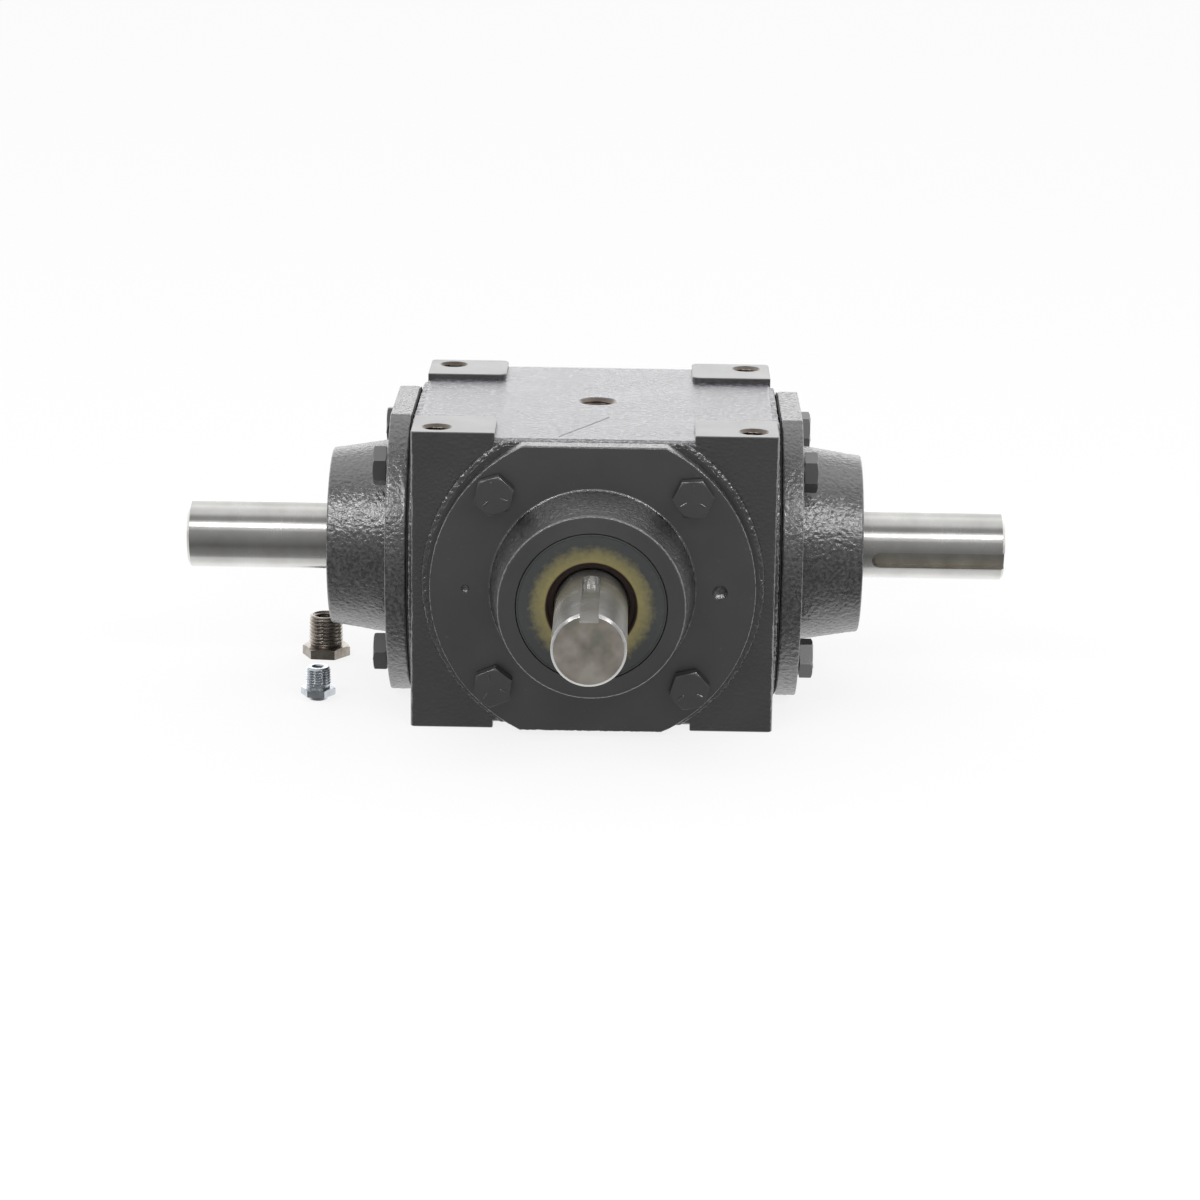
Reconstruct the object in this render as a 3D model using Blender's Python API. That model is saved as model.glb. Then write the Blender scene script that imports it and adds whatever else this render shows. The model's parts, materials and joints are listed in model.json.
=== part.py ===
"""Three-way right angle bevel gearbox: one input shaft, one through shaft and two equal mitre gears.

Sizes are in millimetres, and MM turns them into metres. The three ports (left, right and input) hold the same
cap, seal and bolts, so each is modelled in its port's frame: +Z runs outwards along the shaft, +Y is up, and the
origin is the point where the shaft axes cross. An empty at that point carries each port's frame.
"""

import math

import bmesh
import bpy
from mathutils import Matrix, Vector

MM = 0.001
GAP = 0.3  # between solids that touch on the real gearbox
FACE_GAP = 0.2  # between flat faces that a gasket or a bolt head presses together

# Shafts: 1 inch bars with quarter inch keys, each end the same distance from the crossing
SHAFT_R = 12.7
SHAFT_REACH = 150.8
SHAFT_CHAMFER = 0.9
SHAFT_BODY_R = 15.0  # the through shaft between its bearings
SHAFT_NOSE = 22.0  # the input shaft's inner end
KEY = 6.35
KEYWAY_DEPTH = 3.2
KEYWAY_START = 102.0
INPUT_KEYWAY_DEG = 90.0
RIGHT_KEYWAY_DEG = 195.5
LEFT_KEYWAY_DEG = 15.5

# Housing: a cast cube with machined corner pads
HALF_WIDTH = 64.7
CAST_TOP = 52.0
PAD_TOP = 54.0
PAD_INNER_X = 35.2
PAD_INNER_Y = 37.2
PAD_CORNER = 3.0
PAD_HOLE_AT = 55.9
PAD_HOLE_R = 4.8
PAD_HOLE_DEPTH = 16.0
EDGE_R = 1.6
CAVITY_HALF = 54.0
CAVITY_TOP = 44.5
CAVITY_CORNER = 24.0
BOSS_R = 61.0
BOSS_FACE = 66.1
BOSS_FLAT = CAST_TOP - 0.1
CAP_BORE_R = 41.3

# Pipe thread ports, a quarter inch nominal
PORT_R = 6.0
PLUG_R = 6.5
PLUG_LENGTH = 7.0
PLUG_RECESS = 0.4
PLUG_HEX = 5.6
PLUG_HEX_DEPTH = 4.0

# Bearing caps
FLANGE_SEAT = 66.9
FLANGE_FACE = 74.5
FLANGE_R = 57.6
FLANGE_FLAT = 51.8
HUB_BASE_R = 36.0
HUB_TIP_R = 32.7
HUB_FACE_R = 32.2
HUB_FACE = 97.5
SPIGOT_R = 41.0
SIDE_SPIGOT_END = 62.0
INPUT_SPIGOT_END = 50.0
BEARING_BORE_R = 25.5
CAP_SHOULDER_R = 21.5
SIDE_SHOULDER = (87.0, 88.5)
INPUT_SHOULDER = (64.8, 72.2)
SEAL_BORE_R = 26.4
SEAL_BORE_END = 88.5
DIMPLE_AT = 44.8  # shallow dimples beside the hub
DIMPLE_R = 2.5
DIMPLE_DEPTH = 0.8

# Gaskets
GASKET_THICKNESS = 0.4
GASKET_R = 57.2
GASKET_FLAT = 51.4
GASKET_BORE_R = 41.7

# Cap bolts: 5/16 inch hex head
BOLT_AT = 34.7
BOLT_R = 3.9
BOLT_HOLE_R = 4.3
BOLT_HEX = 12.7
BOLT_HEAD = 5.4
BOLT_TIP = 56.5
BOLT_HOLE_END = 55.5
BOLT_CORNERS = ((-1, 1), (1, 1), (-1, -1), (1, -1))
BOLT_TURNS = {"left": (8, 26, 30, 12), "right": (20, 10, 2, 27), "input": (18, 4, 23, 13)}

# Lip seals
SEAL_R = 26.15
SEAL_FACE = 97.0
SEAL_BACK = 89.0
SEAL_HOLE_R = 16.1
SEAL_LIP_R = 13.05
SPRING_R = 16.7
SPRING_WIRE_R = 0.6
SPRING_AT = 91.6

# Tapered roller bearings, measured from the wide face towards the narrow one
BEARING_WIDTH = 14.2
BEARING_R = 25.15
BEARING_BORE = SHAFT_R + GAP
ROLLERS = 12
BEARING_AT = 72.5
INNER_BEARING_AT = 50.3

# Mitre gears
TEETH = 18
MODULE = 4.0
PITCH_CONE = math.radians(45)
PRESSURE_ANGLE = math.radians(20)
ADDENDUM = 0.8 * MODULE
DEDENDUM = 1.08 * MODULE
TOOTH_THINNING = 0.2
GEAR_FACE_WIDTH = 14.0
GEAR_FRONT_AT = 26.5
GEAR_NOSE_R = 18.8
GEAR_BACK_AT = 45.0
GEAR_HUB_R = 22.0
GEAR_HUB_END = 50.0
GEAR_KEY_START = 30.0
GEAR_KEY_END = 48.0

# Retaining rings
RING_THICKNESS = 1.3
RING_DEPTH = 2.8
RING_GROOVE = 0.9
GEAR_RING_AT = 24.9
BEARING_RING_AT = 87.1

# Loose vent plug and reducer bushing, standing on their heads beside the left port
VENT_PLACE = (-100.7, -32.3)
BUSHING_PLACE = (-103.0, 26.6)
VENT_HEX = 11.1
BUSHING_HEX = 15.9

# Where the shafts cross, so that the origin is the middle of the bounding box at the base
CROSSING = Vector((0.0, (SHAFT_REACH - HALF_WIDTH) / 2, PAD_TOP))

PORT_HEADINGS = {"left": -90.0, "right": 90.0, "input": 0.0}
LARGE_ROUND = 32
ROUND = 24
SMALL_ROUND = 12

FINISHES = {
    "black_paint": ((0.055, 0.055, 0.056), 0.45, 0.0),
    "ground_steel": ((0.62, 0.60, 0.57), 0.28, 1.0),
    "gear_steel": ((0.33, 0.33, 0.34), 0.40, 1.0),
    "bearing_steel": ((0.55, 0.56, 0.58), 0.22, 1.0),
    "seal_rubber": ((0.17, 0.14, 0.055), 0.60, 0.0),
    "gasket_paper": ((0.05, 0.05, 0.05), 0.85, 0.0),
    "zinc_plate": ((0.66, 0.70, 0.74), 0.25, 1.0),
    "dark_steel": ((0.20, 0.17, 0.14), 0.42, 1.0),
}


def clear_scene():
    for obj in list(bpy.data.objects):
        bpy.data.objects.remove(obj)


def make_materials():
    made = {}
    for name, (colour, roughness, metallic) in FINISHES.items():
        material = bpy.data.materials.new(name)
        material.use_nodes = True
        shader = material.node_tree.nodes["Principled BSDF"]
        shader.inputs["Base Color"].default_value = (*colour, 1.0)
        shader.inputs["Roughness"].default_value = roughness
        shader.inputs["Metallic"].default_value = metallic
        made[name] = material
    return made


def make_empty(name, parent=None, location=(0, 0, 0), rotation=(0, 0, 0)):
    empty = bpy.data.objects.new(name, None)
    bpy.context.scene.collection.objects.link(empty)
    empty.parent = parent
    empty.location = Vector(location) * MM
    empty.rotation_euler = [math.radians(angle) for angle in rotation]
    return empty


def make_object(name, shape, finish, parent=None, location=(0, 0, 0), turn=0.0):
    """Makes one node from a bmesh. turn is an angle in degrees about the object's own Z axis."""
    mesh = bpy.data.meshes.new(name)
    shape.to_mesh(mesh)
    shape.free()
    mesh.shade_smooth()
    mesh.set_sharp_from_angle(angle=math.radians(35))
    obj = bpy.data.objects.new(name, mesh)
    bpy.context.scene.collection.objects.link(obj)
    if finish:
        mesh.materials.append(MATERIALS[finish])
    obj.parent = parent
    obj.location = Vector(location) * MM
    obj.rotation_euler[2] = math.radians(turn)
    return obj


def combine(target, shape, operation, parent=None):
    """Adds a Boolean to target that uses shape, a bmesh in parent's frame."""
    name = f"{target.name}_{operation.lower()}_{len(target.modifiers)}"
    tool = make_object(name, shape, None, parent or target.parent)
    tool.hide_render = True
    tool.display_type = "WIRE"
    modifier = target.modifiers.new(operation.title(), "BOOLEAN")
    modifier.operation = operation
    modifier.object = tool


def turned(profile, segments, sweep=360.0):
    """A solid turned about Z from a closed outline of (radius, height) points."""
    shape = bmesh.new()
    points = [shape.verts.new((radius * MM, 0, height * MM)) for radius, height in profile]
    whole = sweep >= 360.0
    if whole:
        pairs = zip(points, points[1:] + points[:1])
        outline = [shape.edges.new(pair) for pair in pairs if pair[0].co.x > 0 or pair[1].co.x > 0]
    else:
        outline = [shape.faces.new(points)]
    bmesh.ops.spin(
        shape,
        geom=outline + (points if whole else list(outline[0].edges) + points),
        axis=(0, 0, 1),
        cent=(0, 0, 0),
        angle=math.radians(sweep),
        steps=segments,
    )
    bmesh.ops.remove_doubles(shape, verts=shape.verts, dist=1e-6)
    bmesh.ops.recalc_face_normals(shape, faces=shape.faces)
    return shape


def prism(outline, bottom, top, shape=None, place=(0, 0)):
    """A solid with this outline of (x, y) points between two heights, added to shape if one is given."""
    shape = shape or bmesh.new()
    low = [shape.verts.new(((x + place[0]) * MM, (y + place[1]) * MM, bottom * MM)) for x, y in outline]
    base = shape.faces.new(low)
    raised = bmesh.ops.extrude_face_region(shape, geom=[base])["geom"]
    lifted = [item for item in raised if isinstance(item, bmesh.types.BMVert)]
    bmesh.ops.translate(shape, verts=lifted, vec=(0, 0, (top - bottom) * MM))
    bmesh.ops.recalc_face_normals(shape, faces=shape.faces)
    return shape


def arc(centre, radius, start_deg, end_deg, steps):
    """Points along an arc, both ends included."""
    angles = [math.radians(start_deg + (end_deg - start_deg) * i / steps) for i in range(steps + 1)]
    return [(centre[0] + radius * math.cos(a), centre[1] + radius * math.sin(a)) for a in angles]


def polygon(radius, sides, turn_deg=0.0):
    return arc((0, 0), radius, turn_deg, turn_deg + 360.0 * (sides - 1) / sides, sides - 1)


def hexagon(across_flats, turn_deg=0.0):
    return polygon(across_flats / math.sqrt(3), 6, turn_deg)


def rounded_square(half, radius, steps):
    inner = half - radius
    corners = ((inner, inner, 0), (-inner, inner, 90), (-inner, -inner, 180), (inner, -inner, 270))
    return [point for x, y, start in corners for point in arc((x, y), radius, start, start + 90, steps)]


def flatted_disc(radius, flat, steps):
    """A circle cut off above and below at height flat."""
    edge = math.degrees(math.asin(flat / radius))
    return arc((0, 0), radius, -edge, edge, steps) + arc((0, 0), radius, 180 - edge, 180 + edge, steps)


def box(low, high):
    (x0, y0, z0), (x1, y1, z1) = low, high
    return prism([(x0, y0), (x1, y0), (x1, y1), (x0, y1)], z0, z1)


def rotated(shape, degrees, axis="Z"):
    bmesh.ops.rotate(shape, verts=shape.verts, matrix=Matrix.Rotation(math.radians(degrees), 3, axis))
    return shape


def keyway(surface_r, start, end, at_deg, round_start=False):
    """The cutter for a slot along a shaft, with the round end that an end mill leaves."""
    half = KEY / 2
    inner = [(start, half), (start, -half)]
    if round_start:
        inner = arc((start + half, 0), half, 90, 270, 6)
    outline = inner + [(end, -half), (end, half)]
    cutter = prism(outline, surface_r - KEYWAY_DEPTH, surface_r + KEYWAY_DEPTH)
    # The slot is drawn along X and cut down Z, and then stood up along Z facing X.
    bmesh.ops.rotate(cutter, verts=cutter.verts, matrix=Matrix(((0, 0, 1), (0, 1, 0), (-1, 0, 0))))
    bmesh.ops.scale(cutter, verts=cutter.verts, vec=(1, 1, -1))
    bmesh.ops.recalc_face_normals(cutter, faces=cutter.faces)
    return rotated(cutter, at_deg)


def cap_bolt_holes(bottom, top, radius):
    shape = bmesh.new()
    for x, y in BOLT_CORNERS:
        prism(polygon(radius, SMALL_ROUND), bottom, top, shape, (x * BOLT_AT, y * BOLT_AT))
    return shape


def make_housing(crossing, ports):
    block = prism(rounded_square(HALF_WIDTH, EDGE_R, 3), -PAD_TOP, PAD_TOP)
    housing = make_object("housing", block, "black_paint", crossing)
    reach = HALF_WIDTH + 5
    x, y, r = PAD_INNER_X, PAD_INNER_Y, PAD_CORNER
    quarter = [(reach, y), *reversed(arc((x + r, y + r), r, 180, 270, 3)), (x, reach)]
    cross = []
    for sx, sy in ((1, 1), (-1, 1), (-1, -1), (1, -1)):
        corner = [(sx * px, sy * py) for px, py in quarter]
        cross += corner if sx * sy > 0 else corner[::-1]
    for bottom, top in ((CAST_TOP, PAD_TOP + 5), (-PAD_TOP - 5, -CAST_TOP)):
        combine(housing, prism(cross, bottom, top), "DIFFERENCE")
    for port in ports.values():
        boss = prism(flatted_disc(BOSS_R, BOSS_FLAT, 12), HALF_WIDTH - 2, BOSS_FACE)
        combine(housing, boss, "UNION", port)
    cavity = prism(rounded_square(CAVITY_HALF, CAVITY_CORNER, 5), -CAVITY_TOP, CAVITY_TOP)
    combine(housing, cavity, "DIFFERENCE")
    for port in ports.values():
        bore = prism(polygon(CAP_BORE_R, LARGE_ROUND), CAVITY_HALF - 6, BOSS_FACE + 2)
        combine(housing, bore, "DIFFERENCE", port)
        combine(housing, cap_bolt_holes(BOLT_HOLE_END, BOSS_FACE + 2, BOLT_HOLE_R), "DIFFERENCE", port)
    pad_holes = bmesh.new()
    for sx, sy in BOLT_CORNERS:
        place = (sx * PAD_HOLE_AT, sy * PAD_HOLE_AT)
        circle = polygon(PAD_HOLE_R, SMALL_ROUND)
        prism(circle, PAD_TOP - PAD_HOLE_DEPTH, PAD_TOP + 2, pad_holes, place)
        prism(circle, -PAD_TOP - 2, PAD_HOLE_DEPTH - PAD_TOP, pad_holes, place)
    combine(housing, pad_holes, "DIFFERENCE")
    plug_hole_r = PLUG_R + GAP + 0.1
    pipe_ports = prism(polygon(PORT_R, 16), CAVITY_TOP - 3, CAST_TOP + 3)
    prism(polygon(plug_hole_r, 16), -CAST_TOP - 3, 3 - CAVITY_TOP, pipe_ports)
    combine(housing, pipe_ports, "DIFFERENCE")
    level = rotated(prism(polygon(plug_hole_r, 16), CAVITY_HALF - 3, HALF_WIDTH + 3), -90, "X")
    combine(housing, level, "DIFFERENCE")


def make_cap(name, port, spigot_end, shoulder):
    hub = turned(
        [
            (0, spigot_end),
            (SPIGOT_R, spigot_end),
            (SPIGOT_R, FLANGE_FACE - 0.5),
            (HUB_BASE_R + 1.1, FLANGE_FACE - 0.5),
            (HUB_BASE_R + 0.4, FLANGE_FACE + 0.4),
            (HUB_BASE_R, FLANGE_FACE + 1.4),
            (HUB_TIP_R, HUB_FACE - 0.9),
            (HUB_FACE_R, HUB_FACE),
            (0, HUB_FACE),
        ],
        LARGE_ROUND,
    )
    cap = make_object(name, hub, "black_paint", port)
    past_shoulder = []
    if shoulder[1] < SEAL_BORE_END:
        past_shoulder = [(BEARING_BORE_R, shoulder[1]), (BEARING_BORE_R, SEAL_BORE_END)]
    combine(cap, prism(flatted_disc(FLANGE_R, FLANGE_FLAT, 12), FLANGE_SEAT, FLANGE_FACE), "UNION")
    bore = turned(
        [
            (0, spigot_end - 2),
            (BEARING_BORE_R, spigot_end - 2),
            (BEARING_BORE_R, shoulder[0]),
            (CAP_SHOULDER_R, shoulder[0]),
            (CAP_SHOULDER_R, shoulder[1]),
            *past_shoulder,
            (SEAL_BORE_R, SEAL_BORE_END),
            (SEAL_BORE_R, HUB_FACE + 2),
            (0, HUB_FACE + 2),
        ],
        LARGE_ROUND,
    )
    combine(cap, bore, "DIFFERENCE")
    combine(cap, cap_bolt_holes(FLANGE_SEAT - 2, FLANGE_FACE + 2, BOLT_HOLE_R), "DIFFERENCE")
    dimples = bmesh.new()
    for side in (-1, 1):
        circle = polygon(DIMPLE_R, 8)
        prism(circle, FLANGE_FACE - DIMPLE_DEPTH, FLANGE_FACE + 2, dimples, (side * DIMPLE_AT, 0))
    combine(cap, dimples, "DIFFERENCE")


def make_gasket(name, port):
    bottom = BOSS_FACE + FACE_GAP
    top = bottom + GASKET_THICKNESS
    sheet = prism(flatted_disc(GASKET_R, GASKET_FLAT, 8), bottom, top)
    gasket = make_object(name, sheet, "gasket_paper", port)
    combine(gasket, prism(polygon(GASKET_BORE_R, ROUND), bottom - 1, top + 1), "DIFFERENCE")
    combine(gasket, cap_bolt_holes(bottom - 1, top + 1, BOLT_HOLE_R), "DIFFERENCE")


def make_cap_bolts(port_name, port):
    """Hex bolts through the flange's four holes, each turned as it stopped when it was tightened."""
    head = FLANGE_FACE + FACE_GAP
    for number, ((x, y), turn) in enumerate(zip(BOLT_CORNERS, BOLT_TURNS[port_name]), start=1):
        bolt = prism(hexagon(BOLT_HEX), head, head + BOLT_HEAD)
        name = f"{port_name}_cap_bolt_{number}"
        obj = make_object(name, bolt, "black_paint", port, (x * BOLT_AT, y * BOLT_AT, 0), turn)
        combine(obj, prism(polygon(BOLT_R, SMALL_ROUND), BOLT_TIP, head + 1), "UNION", obj)


def make_seal(name, port):
    """A lip seal: an outer wall and face, and a lip that leans inwards to the shaft."""
    profile = [
        (SEAL_R, SEAL_FACE),
        (SEAL_R, SEAL_BACK),
        (SEAL_R - 2, SEAL_BACK),
        (SEAL_R - 2, SEAL_FACE - 1.8),
        (SEAL_HOLE_R + 0.6, SEAL_FACE - 1.8),
        (SEAL_HOLE_R - 0.5, SEAL_BACK + 1.0),
        (SEAL_HOLE_R - 1.8, SEAL_BACK + 1.0),
        (SEAL_LIP_R, SEAL_FACE - 4.4),
        (SEAL_HOLE_R, SEAL_FACE),
    ]
    make_object(name, turned(profile, ROUND), "seal_rubber", port)


def make_seal_spring(name, port):
    profile = [(SPRING_R + x, SPRING_AT + z) for x, z in polygon(SPRING_WIRE_R, 4, 45)]
    make_object(name, turned(profile, 20), "bearing_steel", port)


def make_bearing(name, port, start, direction):
    """A tapered roller bearing as three nodes, from its wide face at start towards its narrow one."""

    def along(profile):
        return [(radius, start + direction * depth) for radius, depth in profile]

    cup = along([(BEARING_R, 2.6), (BEARING_R, BEARING_WIDTH), (20.4, BEARING_WIDTH), (22.9, 2.6)])
    make_object(f"{name}_cup", turned(cup, ROUND), "bearing_steel", port)
    cone = along([(BEARING_BORE, 0), (19.2, 0), (19.2, 1.8), (16.9, 1.8), (15.4, 12.2), (BEARING_BORE, 13.4)])
    make_object(f"{name}_cone", turned(cone, ROUND), "bearing_steel", port)
    make_object(f"{name}_rollers", roller_set(start, direction), "bearing_steel", port)


def roller_set(start, direction):
    """The tapered rollers joined by the webs of their cage, lofted from the wide end to the narrow one."""
    sections = ((2.6, 19.9, 2.75), (11.4, 18.2, 2.5))
    round_side = (80, 30, -30, -80)
    shape = bmesh.new()
    loops = []
    for depth, pitch_r, roller_r in sections:
        height = start + direction * depth
        for side in (1, -1):
            loop = []
            for roller in range(ROLLERS):
                centre = 2 * math.pi * roller / ROLLERS
                for angle in round_side:
                    lift = pitch_r + side * roller_r * math.cos(math.radians(angle))
                    swing = roller_r * math.sin(math.radians(-angle))
                    point = Matrix.Rotation(centre, 3, "Z") @ Vector((lift, swing, height))
                    loop.append(shape.verts.new(point * MM))
            loops.append(loop)
    wide_outer, wide_inner, narrow_outer, narrow_inner = loops
    join_loops(shape, wide_outer, narrow_outer)
    join_loops(shape, narrow_outer, narrow_inner)
    join_loops(shape, narrow_inner, wide_inner)
    join_loops(shape, wide_inner, wide_outer)
    bmesh.ops.recalc_face_normals(shape, faces=shape.faces)
    return shape


def join_loops(shape, first, second):
    """Quads between two loops with the same number of points."""
    count = len(first)
    for i in range(count):
        following = (i + 1) % count
        shape.faces.new((first[i], first[following], second[following], second[i]))


def involute(angle):
    return math.tan(angle) - angle


def tooth_flank():
    """(distance from the back cone's apex, half of the tooth's angle there) from the root to the tip."""
    pitch = back_cone_r()
    base = pitch * math.cos(PRESSURE_ANGLE)
    tip = pitch + ADDENDUM
    half_at_pitch = (math.pi * MODULE / 2 - TOOTH_THINNING) / 2 / pitch
    steps = 2
    flank = []
    for i in range(steps + 1):
        distance = base + (tip - base) * i / steps
        half = half_at_pitch + involute(PRESSURE_ANGLE) - involute(math.acos(base / distance))
        flank.append((distance, half))
    return [(pitch - DEDENDUM, flank[0][1]), *flank]


def back_cone_r():
    """Radius of the spur gear that the back cone unrolls to."""
    return TEETH * MODULE / 2 / math.cos(PITCH_CONE)


def gear_loop(shape, scale, first_tooth_deg):
    """The outline of the teeth on the back cone, scaled towards the apex where the shaft axes cross."""
    pitch = back_cone_r()
    pitch_height = TEETH * MODULE / 2 / math.tan(PITCH_CONE)
    flank = tooth_flank()
    loop = []
    for tooth in range(TEETH):
        centre = math.radians(first_tooth_deg) + 2 * math.pi * tooth / TEETH
        sides = [(r, -half) for r, half in flank] + [(r, half) for r, half in reversed(flank)]
        for distance, half in sides:
            angle = centre + half / math.cos(PITCH_CONE)
            radius = distance * math.cos(PITCH_CONE)
            height = pitch_height + (pitch - distance) * math.sin(PITCH_CONE)
            point = Vector((radius * math.cos(angle), radius * math.sin(angle), height))
            loop.append(shape.verts.new(point * scale * MM))
    return loop


def make_gear(name, port, first_tooth_deg, bore_r, key_deg):
    shape = bmesh.new()
    cone_distance = TEETH * MODULE / 2 / math.sin(PITCH_CONE)
    outer = gear_loop(shape, 1.0, first_tooth_deg)
    inner = gear_loop(shape, 1.0 - GEAR_FACE_WIDTH / cone_distance, first_tooth_deg)
    join_loops(shape, outer, inner)
    for loop, height in ((outer, GEAR_BACK_AT), (inner, GEAR_FRONT_AT + 4)):
        middle = shape.verts.new((0, 0, height * MM))
        for i, point in enumerate(loop):
            shape.faces.new((point, loop[(i + 1) % len(loop)], middle))
    bmesh.ops.recalc_face_normals(shape, faces=shape.faces)
    gear = make_object(name, shape, "gear_steel", port)
    hub = [(0, GEAR_FRONT_AT), (GEAR_NOSE_R, GEAR_FRONT_AT), (GEAR_HUB_R, GEAR_BACK_AT - 3)]
    hub += [(GEAR_HUB_R, GEAR_HUB_END), (0, GEAR_HUB_END)]
    combine(gear, turned(hub, ROUND), "UNION")
    combine(gear, prism(polygon(bore_r, ROUND), GEAR_FRONT_AT - 8, GEAR_HUB_END + 2), "DIFFERENCE")
    slot_top = bore_r - GAP - KEYWAY_DEPTH + KEY + GAP
    slot = box((0, -KEY / 2, GEAR_FRONT_AT - 8), (slot_top, KEY / 2, GEAR_HUB_END + 2))
    combine(gear, rotated(slot, key_deg), "DIFFERENCE")


def make_key(name, port, shaft_r, at_deg):
    low = shaft_r - KEYWAY_DEPTH + GAP
    high = shaft_r - KEYWAY_DEPTH + KEY - GAP
    half = KEY / 2 - GAP
    key = rotated(box((low, -half, GEAR_KEY_START), (high, half, GEAR_KEY_END)), at_deg)
    make_object(name, key, "gear_steel", port)


def make_sleeve(name, port, inner_r, outer_r, start, end):
    profile = [(inner_r, start), (outer_r, start), (outer_r, end), (inner_r, end)]
    make_object(name, turned(profile, ROUND), "gear_steel", port)


def make_retaining_ring(name, port, shaft_r, start):
    """An open spring ring that sits in the shaft's groove."""
    inner_r = shaft_r - RING_GROOVE + GAP
    profile = [(inner_r, start), (inner_r + RING_DEPTH, start)]
    profile += [(radius, start + RING_THICKNESS) for radius, _ in reversed(profile)]
    make_object(name, turned(profile, 20, 325.0), "gear_steel", port)


def groove(shaft_r, ring_start):
    """Outline points of the groove under a retaining ring, along increasing height."""
    low, high = ring_start - GAP, ring_start + RING_THICKNESS + GAP
    floor_r = shaft_r - RING_GROOVE
    return [(shaft_r, low), (floor_r, low), (floor_r, high), (shaft_r, high)]


def make_through_shaft(port):
    shoulder = BEARING_AT - GAP
    profile = [
        (0, -SHAFT_REACH),
        (SHAFT_R - SHAFT_CHAMFER, -SHAFT_REACH),
        (SHAFT_R, SHAFT_CHAMFER - SHAFT_REACH),
        (SHAFT_R, -shoulder),
        (SHAFT_BODY_R, -shoulder),
        *groove(SHAFT_BODY_R, GEAR_RING_AT),
        (SHAFT_BODY_R, shoulder),
        (SHAFT_R, shoulder),
        (SHAFT_R, SHAFT_REACH - SHAFT_CHAMFER),
        (SHAFT_R - SHAFT_CHAMFER, SHAFT_REACH),
        (0, SHAFT_REACH),
    ]
    shaft = make_object("through_shaft", turned(profile, LARGE_ROUND), "ground_steel", port)
    end = SHAFT_REACH + 2
    combine(shaft, keyway(SHAFT_R, KEYWAY_START, end, RIGHT_KEYWAY_DEG, True), "DIFFERENCE")
    left = rotated(keyway(SHAFT_R, KEYWAY_START, end, 180 - LEFT_KEYWAY_DEG, True), 180, "Y")
    combine(shaft, left, "DIFFERENCE")
    slot = keyway(SHAFT_BODY_R, GEAR_KEY_START - GAP, GEAR_KEY_END + GAP, RIGHT_KEYWAY_DEG)
    combine(shaft, slot, "DIFFERENCE")


def make_input_shaft(port):
    profile = [
        (0, SHAFT_NOSE),
        (SHAFT_R - SHAFT_CHAMFER, SHAFT_NOSE),
        (SHAFT_R, SHAFT_NOSE + SHAFT_CHAMFER),
        *groove(SHAFT_R, GEAR_RING_AT),
        *groove(SHAFT_R, BEARING_RING_AT),
        (SHAFT_R, SHAFT_REACH - SHAFT_CHAMFER),
        (SHAFT_R - SHAFT_CHAMFER, SHAFT_REACH),
        (0, SHAFT_REACH),
    ]
    shaft = make_object("input_shaft", turned(profile, LARGE_ROUND), "ground_steel", port)
    combine(shaft, keyway(SHAFT_R, KEYWAY_START, SHAFT_REACH + 2, INPUT_KEYWAY_DEG, True), "DIFFERENCE")
    slot = keyway(SHAFT_R, GEAR_KEY_START - GAP, GEAR_KEY_END + GAP, INPUT_KEYWAY_DEG)
    combine(shaft, slot, "DIFFERENCE")


def make_pipe_plug(name, crossing, face, rotation):
    """A socket head pipe plug, modelled with its outer end at +Z and set below the housing's face."""
    plug = make_object(name, prism(polygon(PLUG_R, 16), face - PLUG_LENGTH, face), "dark_steel", crossing)
    plug.rotation_euler = [math.radians(angle) for angle in rotation]
    combine(plug, prism(hexagon(PLUG_HEX), face - PLUG_HEX_DEPTH, face + 2), "DIFFERENCE", plug)


def make_vent_plug(crossing):
    """The vent stands on its cap, with its thread and its blind hole upwards."""
    place = make_empty("vent_place", crossing, (*VENT_PLACE, -PAD_TOP))
    profile = [(0, 0), (3.3, 0), (3.65, 0.4), (3.65, 3.5), (4.3, 3.5)]
    profile += [(4.7, 5.6), (4.55, 11.8), (4.1, 12.4), (0, 12.4)]
    vent = make_object("vent_plug", turned(profile, 16), "zinc_plate", place)
    combine(vent, prism(hexagon(VENT_HEX, -4), 1.9, 4.6), "UNION")
    combine(vent, prism(polygon(1.9, 8), 7.5, 14), "DIFFERENCE")


def make_reducer_bushing(crossing):
    """A hex bushing that stands on its hex, with its outer thread upwards and a bore right through."""
    place = make_empty("bushing_place", crossing, (*BUSHING_PLACE, -PAD_TOP))
    bushing = make_object("reducer_bushing", prism(hexagon(BUSHING_HEX, -5), 0, 3.9), "dark_steel", place)
    profile = [(0, 2), (5.9, 2), (5.9, 4.6), (6.5, 5.4), (6.3, 15.2), (5.8, 15.9), (0, 15.9)]
    combine(bushing, turned(profile, 16), "UNION")
    combine(bushing, turned([(0, -2), (4.8, -2), (4.4, 18), (0, 18)], SMALL_ROUND), "DIFFERENCE")


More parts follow.
